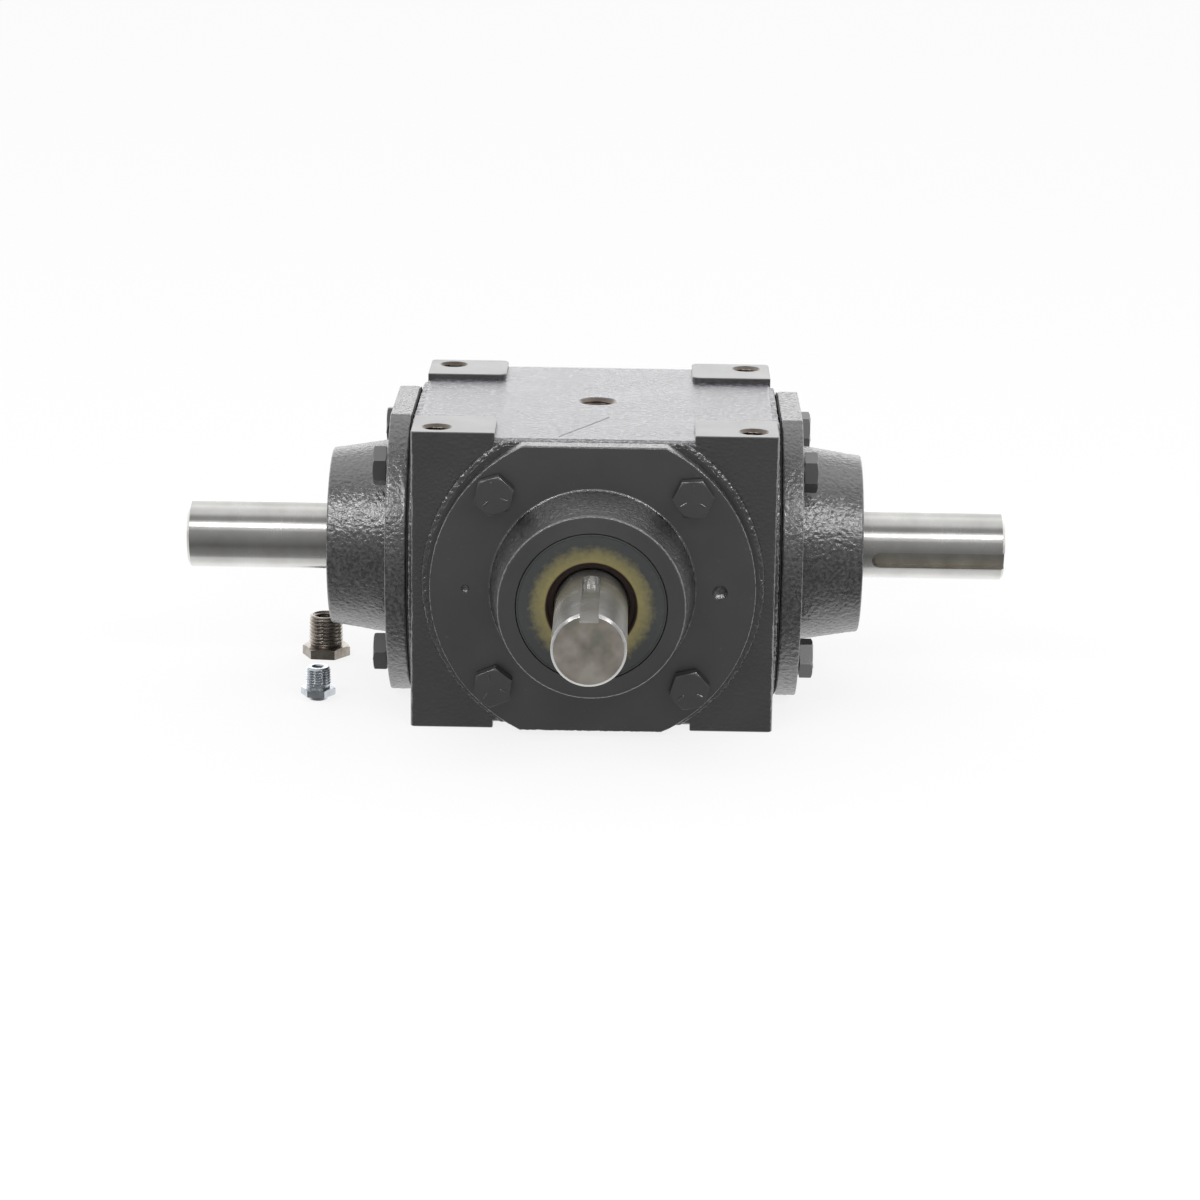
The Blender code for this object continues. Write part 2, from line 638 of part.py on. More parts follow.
def build():
    crossing = make_empty("shaft_crossing", location=CROSSING)
    ports = {
        name: make_empty(f"{name}_port", crossing, rotation=(90, 0, heading))
        for name, heading in PORT_HEADINGS.items()
    }
    make_housing(crossing, ports)
    make_cap("left_cap", ports["left"], SIDE_SPIGOT_END, SIDE_SHOULDER)
    make_cap("right_cap", ports["right"], SIDE_SPIGOT_END, SIDE_SHOULDER)
    make_cap("input_cap", ports["input"], INPUT_SPIGOT_END, INPUT_SHOULDER)
    for name, port in ports.items():
        make_gasket(f"{name}_gasket", port)
        make_cap_bolts(name, port)
        make_seal(f"{name}_seal", port)
        make_seal_spring(f"{name}_seal_spring", port)
    make_pipe_plug("drain_plug", crossing, CAST_TOP - PLUG_RECESS, (180, 0, 0))
    make_pipe_plug("level_plug", crossing, HALF_WIDTH - PLUG_RECESS, (-90, 0, 0))

    right, facing = ports["right"], ports["input"]
    make_through_shaft(right)
    make_gear("crown_gear", right, 0.0, SHAFT_BODY_R + GAP, RIGHT_KEYWAY_DEG)
    make_key("crown_gear_key", right, SHAFT_BODY_R, RIGHT_KEYWAY_DEG)
    make_retaining_ring("crown_gear_ring", right, SHAFT_BODY_R, GEAR_RING_AT)
    spacer_r = SHAFT_BODY_R + GAP
    make_sleeve("crown_gear_spacer", right, spacer_r, spacer_r + 3.2, GEAR_HUB_END + GAP, BEARING_AT - GAP)
    make_bearing("left_bearing", ports["left"], BEARING_AT, 1)
    make_bearing("right_bearing", right, BEARING_AT, 1)

    make_input_shaft(facing)
    half_pitch_deg = 180.0 / TEETH
    make_gear("input_gear", facing, half_pitch_deg, BEARING_BORE, INPUT_KEYWAY_DEG)
    make_key("input_gear_key", facing, SHAFT_R, INPUT_KEYWAY_DEG)
    make_retaining_ring("input_gear_ring", facing, SHAFT_R, GEAR_RING_AT)
    make_bearing("input_inner_bearing", facing, INNER_BEARING_AT, 1)
    make_bearing("input_outer_bearing", facing, BEARING_AT + BEARING_WIDTH, -1)
    between = (INNER_BEARING_AT + BEARING_WIDTH + GAP, BEARING_AT - GAP)
    make_sleeve("input_cone_spacer", facing, BEARING_BORE, BEARING_BORE + 2.6, *between)
    make_retaining_ring("input_bearing_ring", facing, SHAFT_R, BEARING_RING_AT)

    make_vent_plug(crossing)
    make_reducer_bushing(crossing)


clear_scene()
MATERIALS = make_materials()
build()
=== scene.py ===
"""Looks of the right angle bevel gearbox: cast, painted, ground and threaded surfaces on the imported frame.

Lengths are in millimetres from the point where the shafts cross, and a place matrix turns them into metres in
the row frame. Lengths inside materials are in metres. A port's frame has +Z outwards along its shaft, +Y up.
"""

import json
import math

import bmesh
import bpy
import numpy as np
from mathutils import Matrix, Vector, noise


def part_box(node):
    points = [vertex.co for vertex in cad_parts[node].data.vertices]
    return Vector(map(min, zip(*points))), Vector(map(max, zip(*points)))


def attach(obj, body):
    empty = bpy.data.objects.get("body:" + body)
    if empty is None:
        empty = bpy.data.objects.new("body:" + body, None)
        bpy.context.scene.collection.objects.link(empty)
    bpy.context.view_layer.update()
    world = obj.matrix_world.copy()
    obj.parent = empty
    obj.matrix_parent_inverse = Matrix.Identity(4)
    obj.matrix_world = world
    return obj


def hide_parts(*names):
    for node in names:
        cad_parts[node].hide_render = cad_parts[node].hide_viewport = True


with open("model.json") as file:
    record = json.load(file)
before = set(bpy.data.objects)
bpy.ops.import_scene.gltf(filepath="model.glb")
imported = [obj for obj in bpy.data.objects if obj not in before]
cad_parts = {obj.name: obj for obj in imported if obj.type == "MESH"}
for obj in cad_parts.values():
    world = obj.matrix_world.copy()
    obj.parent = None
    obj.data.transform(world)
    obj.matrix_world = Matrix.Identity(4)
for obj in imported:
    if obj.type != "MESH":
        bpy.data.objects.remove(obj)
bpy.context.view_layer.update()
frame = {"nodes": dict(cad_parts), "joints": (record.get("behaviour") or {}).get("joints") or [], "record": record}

MM = 0.001
CROSSING = Vector(frame["joints"][0]["pos_m"])
CAST_FRAME = Matrix.Translation(CROSSING) @ Matrix.Scale(MM, 4)
UPSIDE_DOWN = Matrix.Rotation(math.pi, 4, "X")
TO_THE_REAR = Matrix.Rotation(math.radians(-90), 4, "X")


def turned(degrees):
    """A turn about a place's own Z axis."""
    return Matrix.Rotation(math.radians(degrees), 4, "Z")


def port_frame(heading):
    """The frame of the port that faces this way, in degrees anticlockwise from the front."""
    turn = turned(heading) @ Matrix.Rotation(math.radians(90), 4, "X")
    return Matrix.Translation(CROSSING) @ turn @ Matrix.Scale(MM, 4)


PORTS = {"left": port_frame(-90), "right": port_frame(90), "input": port_frame(0)}


def span(node):
    """A CAD node's lowest and highest corners, in millimetres from the crossing."""
    low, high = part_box(node)
    return (low - CROSSING) / MM, (high - CROSSING) / MM


# Sizes read from the frame
HOUSING = span("housing")[1]
BOSS_FACE, HALF_WIDTH, PAD_TOP = HOUSING
CAP_LOW, CAP_HIGH = span("input_cap")
FLANGE_R, FLANGE_FLAT, HUB_FACE = CAP_HIGH.x, CAP_HIGH.z, -CAP_LOW.y
SPIGOT_END = {"left": span("right_cap")[0].x, "right": span("right_cap")[0].x, "input": -CAP_HIGH.y}
GASKET_LOW, GASKET_HIGH = -span("input_gasket")[1].y, -span("input_gasket")[0].y
GASKET_R, GASKET_FLAT = span("input_gasket")[1].x, span("input_gasket")[1].z
SEAL_R, SEAL_FACE, SEAL_BACK = span("input_seal")[1].x, -span("input_seal")[0].y, -span("input_seal")[1].y
SHAFT_REACH = span("through_shaft")[1].x
SHAFT_R, SHAFT_NOSE = span("input_shaft")[1].x, -span("input_shaft")[1].y
BOLT_TOP, BOLT_TIP = -span("input_cap_bolt_1")[0].y, -span("input_cap_bolt_1")[1].y

# Casting: the block, its raised pads and the boss plate under each cap
CAST_TOP = PAD_TOP - 2.0
CAST_EDGE_R = 1.6
CHAMBER_HALF = (54.0, 44.5)
CHAMBER_CORNER_R = 24.0
BOSS_R = 61.0
BOSS_FLAT = CAST_TOP - 0.1
BOSS_RIM = 1.6
BOSS_STEPS = (320, 130)
PORT_SWELL = 0.4
PORT_SWELL_R = 13.0
PAD_INNER = (35.2, 37.2)
PAD_HOLE_AT = 55.9
PAD_HOLE_DEPTH = 16.0
PLUG_HOLE_R = 6.9

# Caps and their bolts. A cup stop runs between two heights, and a dimple has a place and a radius
FACE_GAP = 0.2
FLANGE_SEAT = GASKET_HIGH + FACE_GAP
FLANGE_FACE = 74.5
FLANGE_STEPS = (280, 110)
GASKET_STEPS = (64, 24)
HUB_STEPS = 500
SPIGOT_R = 41.0
HOUSING_BORE_R = 41.3
GASKET_BORE_R = 41.7
CUP_BORE_R = 25.5
STOP_BORE_R = 21.5
SEAL_SHELF = 88.5
CUP_STOP = {"left": (87.0, SEAL_SHELF), "right": (87.0, SEAL_SHELF), "input": (64.8, 72.2)}
HUB_ROOT_R = 37.1
DIMPLES = {-44.8: 1.9, 44.8: 3.3}
BOLT_AT = 34.7
BOLT_HOLE_R = 4.3
BOLT_HOLE_END = 55.5
BOLT_HEX = 12.7
BOLT_MARK = 0.25
BOLT_MARK_TURNS = (85, 205, 325)
BOLT_TURNS = {"left": (8, 26, 30, 12), "right": (20, 10, 2, 27), "input": (18, 4, 23, 13)}
CORNERS = ((-1, 1), (1, 1), (-1, -1), (1, -1))

# Depth and size of the sand grain on cast surfaces, and the grid of the block's skin
BOSS_GRAIN = (0.42, 1.25)
CAP_GRAIN = (0.24, 1.15)
BLOCK_GRAIN_SIZE = 1.3
BLOCK_GRAIN_DEPTHS = {"edge": 0.28, "top": 0.06, "side": 0.03}
BLOCK_STEPS = (1.0, 1.0, 1.6)

# Shafts and seals
KEY = 6.35
KEYWAY_DEPTH = 3.2
KEYWAY_START = 102.0
KEYWAY_TURN = {"right": 195.5, "left": 164.5, "input": 90.0}
SHAFT_CHAMFER = 0.9
GEAR_SEAT_R = 15.0
SEAL_BORE_R = 26.4
BEARING_AT = 72.5
GEAR_KEY = (29.7, 48.3)
GEAR_RING_AT = 24.9
BEARING_RING_AT = 87.1

# Threads, as depth and pitch, and hex sizes across the flats
PAD_THREAD = (0.5, 1.5875)
PAD_THREAD_R = 4.75
PORT_THREAD = (0.55, 1.411)
PORT_THREAD_R = 6.1
VENT_HEX = 11.1
BUSHING_HEX = 15.9
SOCKET_HEX = 5.6
VENT_THREAD = (0.5, 0.97)
BUSHING_THREAD = (0.5, 1.411)
BUSHING_BORE_THREAD = (0.4, 0.97)


# Shapes -----------------------------------------------------------------------------------------------


def solid(name, points, faces, place):
    """An object from points in millimetres, with its faces turned outwards."""
    mesh = bpy.data.meshes.new(name)
    mesh.from_pydata(np.asarray(points).tolist(), [], faces)
    mesh.transform(place)
    shape = bmesh.new()
    shape.from_mesh(mesh)
    if shape.calc_volume(signed=True) < 0:
        bmesh.ops.reverse_faces(shape, faces=shape.faces)
    shape.to_mesh(mesh)
    shape.free()
    obj = bpy.data.objects.new(name, mesh)
    bpy.context.scene.collection.objects.link(obj)
    return obj


def loft(name, rings, place, wrap=False):
    """A closed solid through rings of points. With wrap, the last ring joins the first, as on a seal."""
    count = len(rings[0])
    here = np.arange(count)
    following = np.roll(here, -1)
    faces = []
    for low, high in zip(range(len(rings)), range(1, len(rings) + wrap)):
        a, b = low * count, high % len(rings) * count
        faces += np.stack([a + here, a + following, b + following, b + here], 1).tolist()
    if not wrap:
        faces += [here[::-1].tolist(), (here + (len(rings) - 1) * count).tolist()]
    return solid(name, np.concatenate(rings), faces, place)


def circle(radius, height, count):
    """A ring of points. radius is one number, or one for each point."""
    angle = np.arange(count) * 2 * math.pi / count
    return np.stack([radius * np.cos(angle), radius * np.sin(angle), np.full(count, height)], 1)


def lathe(name, profile, count, place, wrap=False):
    return loft(name, [circle(radius, height, count) for radius, height in profile], place, wrap)


def arc(x, y, radius, start, end, steps):
    angles = np.radians(np.linspace(start, end, steps + 1))
    return [(x + radius * math.cos(a), y + radius * math.sin(a)) for a in angles]


def hexagon(across_flats, height, turn=0.0):
    ring = circle(across_flats / math.sqrt(3), height, 6)
    angle = math.radians(turn)
    spun = np.array([[math.cos(angle), -math.sin(angle)], [math.sin(angle), math.cos(angle)]])
    ring[:, :2] = ring[:, :2] @ spun.T
    return ring


def rounded_rectangle(low, high, radii, height, inset=0.0, steps=8):
    """A ring round a rectangle, with a radius for each corner from the lowest one anticlockwise."""
    (x0, y0), (x1, y1) = low, high
    centres = ((x0, y0, 1, 1, 180), (x1, y0, -1, 1, 270), (x1, y1, -1, -1, 0), (x0, y1, 1, -1, 90))
    ring = []
    for (x, y, sx, sy, start), radius in zip(centres, radii):
        ring += arc(x + sx * radius, y + sy * radius, radius - inset, start, start + 90, steps)
    return np.array([(x, y, height) for x, y in ring])


def flatted_circle(radius, flat, height, counts):
    """A circle cut off above and below at height flat."""
    along_arc, along_flat = counts
    edge = math.asin(flat / radius)
    half = radius * math.cos(edge)
    turn = np.linspace(-edge, edge, along_arc, endpoint=False)
    across = np.linspace(half, -half, along_flat, endpoint=False)
    side = np.stack([radius * np.cos(turn), radius * np.sin(turn)], 1)
    top = np.stack([across, np.full(along_flat, flat)], 1)
    ring = np.concatenate([side, top, -side, -top])
    return np.column_stack([ring, np.full(len(ring), height)])


def dense(profile, step):
    """The profile with points added, so that none are further apart than step in radius and height."""
    points = [profile[0]]
    for first, second in zip(profile, profile[1:]):
        parts = max(1, math.ceil(math.dist(first[:2], second[:2]) / step))
        offset = np.array(second) - first
        points += [tuple(first + offset * i / parts) for i in range(1, parts + 1)]
    return points


def grain(points, size, seed):
    """Rough cast relief from 0 to 1 at each point, with bumps of about that size in millimetres."""
    shift = Vector((17.3 * seed, -9.1 * seed, 5.7 * seed))
    lumps = [noise.fractal(Vector(p) / size + shift, 0.9, 2.1, 3) for p in points.tolist()]
    return np.clip(0.5 + 0.62 * np.array(lumps), 0, 1)


def sink(ring, inwards, weight, depth_and_size, seed):
    """The ring with its points moved inwards by its grain. weight is the share of the full depth."""
    depth, size = depth_and_size
    return ring + inwards * (depth * weight * grain(ring, size, seed))[:, None]


def inward(ring_at):
    """Unit steps inwards from a ring's points. ring_at gives the ring at an inset."""
    direction = ring_at(1) - ring_at(0)
    direction[:, 2] = 0
    return direction / np.linalg.norm(direction, axis=1, keepdims=True)


def thread_radii(crest, thread, height, count):
    """Radii round one turn of a screw thread at this height."""
    depth, pitch = thread
    phase = (height / pitch - np.arange(count) / count) % 1.0
    ridge = np.clip(1.7 * (1 - np.abs(2 * phase - 1)) - 0.35, 0, 1)
    return crest - depth * (1 - ridge)


def bake(obj):
    """Puts the evaluated mesh in place of the modifiers."""
    graph = bpy.context.evaluated_depsgraph_get()
    made = bpy.data.meshes.new_from_object(obj.evaluated_get(graph))
    obj.modifiers.clear()
    old, obj.data = obj.data, made
    bpy.data.meshes.remove(old)


def combine(target, operation, *tools):
    for tool in tools:
        modifier = target.modifiers.new(operation, "BOOLEAN")
        modifier.operation = operation
        modifier.solver = "MANIFOLD"
        modifier.object = tool
    bake(target)
    for tool in tools:
        bpy.data.meshes.remove(tool.data)
    return target


def finish_piece(obj, body, materials, nodes, choose=None, sharp=38.0):
    """Materials, shading, the body that the piece rides on and the CAD nodes that it stands in for.

    choose gives each face's material number from its centre and normal.
    """
    mesh = obj.data
    mesh.materials.clear()
    for material in materials:
        mesh.materials.append(material)
    index = np.zeros(len(mesh.polygons), np.int32)
    if choose:
        centres, normals = np.empty((len(index), 3)), np.empty((len(index), 3))
        mesh.polygons.foreach_get("center", centres.ravel())
        mesh.polygons.foreach_get("normal", normals.ravel())
        index = choose((centres - np.array(CROSSING)) / MM, normals).astype(np.int32)
    mesh.polygons.foreach_set("material_index", index)
    mesh.shade_smooth()
    mesh.set_sharp_from_angle(angle=math.radians(sharp))
    modifier = obj.modifiers.new("even_flats", "WEIGHTED_NORMAL")
    modifier.keep_sharp = True
    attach(obj, body)
    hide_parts(*nodes)


# Materials --------------------------------------------------------------------------------------------


def add(tree, kind, settings=None, **inputs):
    """A shader node. An underscore in an input's name stands for a space, and a socket is linked."""
    node = tree.nodes.new("ShaderNode" + kind)
    for key, value in (settings or {}).items():
        setattr(node, key, value)
    for key, value in inputs.items():
        set_input(tree, node.inputs[key.replace("_", " ")], value)
    return node


def set_input(tree, socket, value):
    if isinstance(value, bpy.types.NodeSocket):
        tree.links.new(value, socket)
    else:
        socket.default_value = value


def calculate(tree, operation, *values):
    node = add(tree, "Math", {"operation": operation})
    for socket, value in zip(node.inputs, values):
        set_input(tree, socket, value)
    return node.outputs[0]


def vector_math(tree, operation, *values):
    node = add(tree, "VectorMath", {"operation": operation})
    for socket, value in zip(node.inputs, values):
        set_input(tree, socket, value)
    return node


def ramp(tree, factor, *stops):
    """A colour ramp through (position, colour) stops. A colour is one grey level or three numbers."""
    node = add(tree, "ValToRGB", Fac=factor)
    elements = node.color_ramp.elements
    while len(elements) < len(stops):
        elements.new(0.5)
    for element, (position, colour) in zip(elements, stops):
        element.position = position
        element.color = (*colour, 1.0) if isinstance(colour, tuple) else (colour, colour, colour, 1.0)
    return node.outputs["Color"]


def mix(tree, factor, first, second):
    node = add(tree, "Mix", {"data_type": "RGBA"})
    for name, value in (("Factor_Float", factor), ("A_Color", first), ("B_Color", second)):
        socket = next(s for s in node.inputs if s.identifier == name)
        set_input(tree, socket, value if isinstance(value, (bpy.types.NodeSocket, float)) else (*value, 1.0))
    return next(s for s in node.outputs if s.identifier == "Result_Color")


def spread(tree, factor, low, high):
    return add(tree, "MapRange", Value=factor, To_Min=low, To_Max=high).outputs["Result"]


def noise_of(tree, where, scale, detail=3.0, roughness=0.5):
    node = add(tree, "TexNoise", Vector=where, Scale=scale, Detail=detail, Roughness=roughness)
    return node.outputs["Fac"]


def start_material(name, metallic, roughness):
    material = bpy.data.materials.new(name)
    material.use_nodes = True
    tree = material.node_tree
    shader = tree.nodes["Principled BSDF"]
    shader.inputs["Metallic"].default_value = metallic
    shader.inputs["Roughness"].default_value = roughness
    where = add(tree, "TexCoord").outputs["Object"]
    return material, tree, shader, where


def bumped(tree, shader, height, distance):
    node = add(tree, "Bump", Height=height, Distance=distance, Strength=1.0)
    tree.links.new(node.outputs["Normal"], shader.inputs["Normal"])


def from_axis(tree, where, axis):
    """The distance in metres from the shaft axis, which runs along world X or Y through the crossing."""
    offset = vector_math(tree, "SUBTRACT", where, tuple(CROSSING)).outputs["Vector"]
    mask = (0.0, 1.0, 1.0) if axis == "X" else (1.0, 0.0, 1.0)
    across = vector_math(tree, "MULTIPLY", offset, mask).outputs["Vector"]
    return vector_math(tree, "LENGTH", across).outputs["Value"]


PAINT_IOR = 2.4
PAINT_DARK, PAINT_PALE = 0.013, 0.018
GRIND_ANISOTROPY, GRIND_TURN = 0.85, 0.25
LIP_EDGE = {"From_Min": 0.0158, "From_Max": 0.0162}
STAIN_BAND = {"From_Min": 0.0165, "From_Max": 0.0226}
SCRATCH_START, SCRATCH_END = Vector((-12.7, -60.4)), Vector((4.8, -25.9))


def paint(name, relief, relief_size, gloss, scratch=False, painted_lift=0.0, glint_colour=None):
    """Black machine paint.

    relief is the depth of its texture, relief_size the size of its lumps, haze how much paler than black its
    base is painted, which is painted light, and flecks the colour of painted glints on the high spots of its
    grain.
    """
    material, tree, shader, where = start_material(name, 0.0, 0.4)
    lumps = noise_of(tree, where, 1 / relief_size, 3.0, 0.6)
    fine = noise_of(tree, where, 1 / 0.0005, 2.0, 0.5)
    patches = noise_of(tree, where, 1 / 0.018, 3.0, 0.55)
    dust = ramp(tree, noise_of(tree, where, 1 / 0.0016, 1.0, 0.5), (0.74, 0.0), (0.80, 1.0))
    # haze lifts the base colour, which is painted light.
    colour = ramp(tree, patches, (0.3, PAINT_DARK + painted_lift), (0.7, PAINT_PALE + painted_lift))
    colour = mix(tree, calculate(tree, "MULTIPLY", dust, 0.35), colour, (0.09, 0.09, 0.085))
    # Painted glints: the high spots of the grain are painted paler and the paint between them darker, in place of
    # sparkle from the lamps.
    if glint_colour:
        painted_glints = ramp(tree, lumps, (0.40, 0.0), (0.64, 1.0))
        colour = mix(tree, painted_glints, mix(tree, 0.6, colour, (0.0, 0.0, 0.0)), glint_colour)
    shader.inputs["IOR"].default_value = PAINT_IOR
    shine = spread(tree, patches, gloss - 0.05, gloss + 0.08)
    height = calculate(tree, "ADD", lumps, calculate(tree, "MULTIPLY", fine, 0.25))
    if scratch:
        mark = scratch_mask(tree, where)
        colour = mix(tree, mark, colour, (0.012, 0.012, 0.012))
        shine = calculate(tree, "ADD", shine, calculate(tree, "MULTIPLY", mark, 0.45))
        height = calculate(tree, "SUBTRACT", height, mark)
    tree.links.new(colour, shader.inputs["Base Color"])
    tree.links.new(shine, shader.inputs["Roughness"])
    bumped(tree, shader, height, relief)
    return material


def scratch_mask(tree, where):
    """A thin slanting scratch on the cast top, in front of the vent port."""
    along = SCRATCH_END - SCRATCH_START
    place = (CROSSING.x + SCRATCH_START.x * MM, CROSSING.y + SCRATCH_START.y * MM, 0.0)
    aligned = add(tree, "Mapping", {"vector_type": "TEXTURE"}, Vector=where, Location=place)
    aligned.inputs["Rotation"].default_value = (0.0, 0.0, math.atan2(along.y, along.x))
    axes = add(tree, "SeparateXYZ", Vector=aligned.outputs["Vector"])
    wander = spread(tree, noise_of(tree, where, 120.0, 2.0), -0.0007, 0.0007)
    aside = calculate(tree, "ABSOLUTE", calculate(tree, "ADD", axes.outputs["Y"], wander))
    line = add(tree, "MapRange", Value=aside, From_Min=0.00012, From_Max=0.0004, To_Min=1.0, To_Max=0.0)
    inside = calculate(tree, "GREATER_THAN", axes.outputs["X"], 0.0)
    before = calculate(tree, "LESS_THAN", axes.outputs["X"], along.length * MM)
    on_top = calculate(tree, "GREATER_THAN", axes.outputs["Z"], CROSSING.z + (CAST_TOP - 1) * MM)
    mask = calculate(tree, "MULTIPLY", line.outputs["Result"], calculate(tree, "MULTIPLY", inside, before))
    return calculate(tree, "MULTIPLY", mask, on_top)


def stretch_along(tree, shader, axis):
    """Stretches the highlights along the axis, across the grinding lines that run round it."""
    tangent = add(tree, "Tangent", {"direction_type": "RADIAL", "axis": axis})
    tree.links.new(tangent.outputs["Tangent"], shader.inputs["Tangent"])
    shader.inputs["Anisotropic"].default_value = GRIND_ANISOTROPY
    shader.inputs["Anisotropic Rotation"].default_value = GRIND_TURN


def lines_along(tree, distance, size, detail):
    """Fine uneven lines, one after the other along a distance."""
    settings = {"noise_dimensions": "1D"}
    return add(tree, "TexNoise", settings, W=distance, Scale=1 / size, Detail=detail).outputs["Fac"]


def steel(name, dark, light, roughness, grind_axis=None, blotch=0.012):
    """Bare or plated steel, with fine grinding lines round one axis if it is given."""
    material, tree, shader, where = start_material(name, 1.0, roughness)
    patches = noise_of(tree, where, 1 / blotch, 4.0, 0.6)
    tree.links.new(ramp(tree, patches, (0.3, dark), (0.7, light)), shader.inputs["Base Color"])
    lines = noise_of(tree, where, 1 / 0.0006, 3.0, 0.6)
    if grind_axis:
        stretch_along(tree, shader, grind_axis)
        along = add(tree, "SeparateXYZ", Vector=where).outputs[grind_axis]
        lines = lines_along(tree, along, 0.00035, 3.0)
    shine = spread(tree, patches, roughness - 0.04, roughness + 0.04)
    shine = calculate(tree, "ADD", shine, spread(tree, lines, -0.04, 0.04))
    tree.links.new(shine, shader.inputs["Roughness"])
    bumped(tree, shader, lines, 0.000004 if grind_axis else 0.00001)
    return material


def turned_face(name, axis):
    """The faced end of a shaft: fine rings from the tool, and painted reflection in broad streaks that spread out
    from the middle.
    """
    material, tree, shader, where = start_material(name, 1.0, 0.38)
    radius = from_axis(tree, where, axis)
    offset = vector_math(tree, "SUBTRACT", where, tuple(CROSSING)).outputs["Vector"]
    axes = add(tree, "SeparateXYZ", Vector=offset)
    aside = axes.outputs["Y" if axis == "X" else "X"]
    angle = calculate(tree, "ARCTAN2", axes.outputs["Z"], aside)
    # Painted reflection: the colour swings with the angle round the axis, as the sheen on a faced end would.
    painted_fan_sheen = calculate(tree, "SINE", calculate(tree, "MULTIPLY_ADD", angle, 4.0, 1.2))
    blotches = noise_of(tree, where, 1 / 0.0065, 2.0, 0.5)
    tone = calculate(tree, "MULTIPLY_ADD", painted_fan_sheen, 0.05, blotches)
    stops = ((0.30, (0.40, 0.395, 0.335)), (0.46, (0.54, 0.49, 0.43)), (0.68, (0.68, 0.64, 0.58)))
    colour = ramp(tree, tone, *stops)
    middle = add(tree, "MapRange", Value=radius, From_Min=0.0008, From_Max=0.0045, To_Min=0.45, To_Max=0.0)
    colour = mix(tree, middle.outputs["Result"], colour, (0.22, 0.22, 0.19))
    tree.links.new(colour, shader.inputs["Base Color"])
    rings = lines_along(tree, radius, 0.0003, 2.0)
    tree.links.new(spread(tree, rings, 0.48, 0.60), shader.inputs["Roughness"])
    bumped(tree, shader, rings, 0.000006)
    return material


def seal_rubber(name, axis):
    """Black rubber with an amber stain of grease round the lip, and a brown-black lip."""
    material, tree, shader, where = start_material(name, 0.0, 0.5)
    radius = from_axis(tree, where, axis)
    ragged = spread(tree, noise_of(tree, where, 1 / 0.0024, 4.0, 0.65), -0.0020, 0.0020)
    edge = calculate(tree, "ADD", radius, ragged)
    outer = add(tree, "MapRange", Value=edge, **STAIN_BAND).outputs["Result"]
    grime = spread(tree, noise_of(tree, where, 1 / 0.0014, 2.0, 0.5), -0.20, 0.30)
    outer = calculate(tree, "ADD", outer, grime)
    stops = ((0.0, (0.235, 0.200, 0.078)), (0.5, (0.165, 0.148, 0.066)), (1.0, (0.046, 0.048, 0.049)))
    stain = ramp(tree, outer, *stops)
    inner = add(tree, "MapRange", Value=radius, **LIP_EDGE).outputs["Result"]
    tree.links.new(mix(tree, inner, (0.030, 0.018, 0.015), stain), shader.inputs["Base Color"])
    fine = noise_of(tree, where, 1 / 0.0007, 3.0, 0.6)
    tree.links.new(spread(tree, fine, 0.45, 0.62), shader.inputs["Roughness"])
    bumped(tree, shader, fine, 0.00002)
    return material


def gasket_paper():
    material, tree, shader, where = start_material("gasket_sheet", 0.0, 0.85)
    fibres = noise_of(tree, where, 1 / 0.0008, 4.0, 0.7)
    tree.links.new(ramp(tree, fibres, (0.3, 0.018), (0.7, 0.035)), shader.inputs["Base Color"])
    tree.links.new(spread(tree, fibres, 0.78, 0.95), shader.inputs["Roughness"])
    bumped(tree, shader, fibres, 0.00003)
    return material


CAST_PAINT = paint("cast_black_paint", 0.00024, 0.0012, 0.21)
# Cap paint, with painted glints on the high spots of its grain.
GLINT_FLECKED_PAINT = paint("cast_black_paint_glint_flecked", 0.00026, 0.0012, 0.21, glint_colour=(0.058, 0.058, 0.058))
# The cast top: its pale bluish flecks are painted reflection of the bright studio above, painted glints on the
# grain. The scratch is real.
TOP_PAINT = paint("cast_black_paint_top", 0.00034, 0.0020, 0.24, scratch=True, glint_colour=(0.15, 0.15, 0.19))
# Paint for the input hub: a paler copy of the cap paint, painted light in place of the light that its side
# reflects. It also carries painted glints.
LIT_HUB_PAINT = paint("cast_black_paint_painted_lift", 0.00032, 0.0011, 0.30, painted_lift=0.012, glint_colour=(0.07, 0.07, 0.07))
SMOOTH_PAINT = paint("machined_black_paint", 0.000008, 0.0022, 0.30)
BORE_STEEL = steel("oily_cut_iron", (0.10, 0.085, 0.07), (0.24, 0.205, 0.175), 0.35)
MILLED = steel("milled_keyway_steel", (0.40, 0.375, 0.33), (0.53, 0.515, 0.475), 0.34, blotch=0.006)
GROUND = {
    axis: steel(f"ground_steel_{axis}", (0.56, 0.555, 0.54), (0.66, 0.655, 0.64), 0.25, axis) for axis in "XY"
}
FACED = {axis: turned_face(f"faced_steel_{axis}", axis) for axis in "XY"}
RUBBER = {axis: seal_rubber(f"stained_seal_rubber_{axis}", axis) for axis in "XY"}
GASKET = gasket_paper()
ZINC = steel("bright_zinc", (0.40, 0.43, 0.46), (0.64, 0.675, 0.71), 0.30, blotch=0.003)
BROWN_STEEL = steel("brown_steel", (0.19, 0.165, 0.14), (0.36, 0.325, 0.29), 0.28, blotch=0.003)
PLUG_STEEL = steel("plug_steel", (0.09, 0.085, 0.08), (0.16, 0.15, 0.14), 0.4, blotch=0.004)
GEAR_STEEL = steel("oiled_gear_steel", (0.24, 0.24, 0.245), (0.40, 0.40, 0.41), 0.32)
BEARING_STEEL = steel("bearing_steel", (0.50, 0.51, 0.53), (0.62, 0.63, 0.65), 0.18)


# Castings ---------------------------------------------------------------------------------------------


def axis_steps(half, edge, step):
    """Grid lines from -half to half, close together within edge of both ends."""
    border = np.linspace(0, edge, 5)[:-1]
    middle = np.linspace(-half + edge, half - edge, math.ceil(2 * (half - edge) / step) + 1)
    return np.concatenate([-half + border, middle, half - border[::-1]])


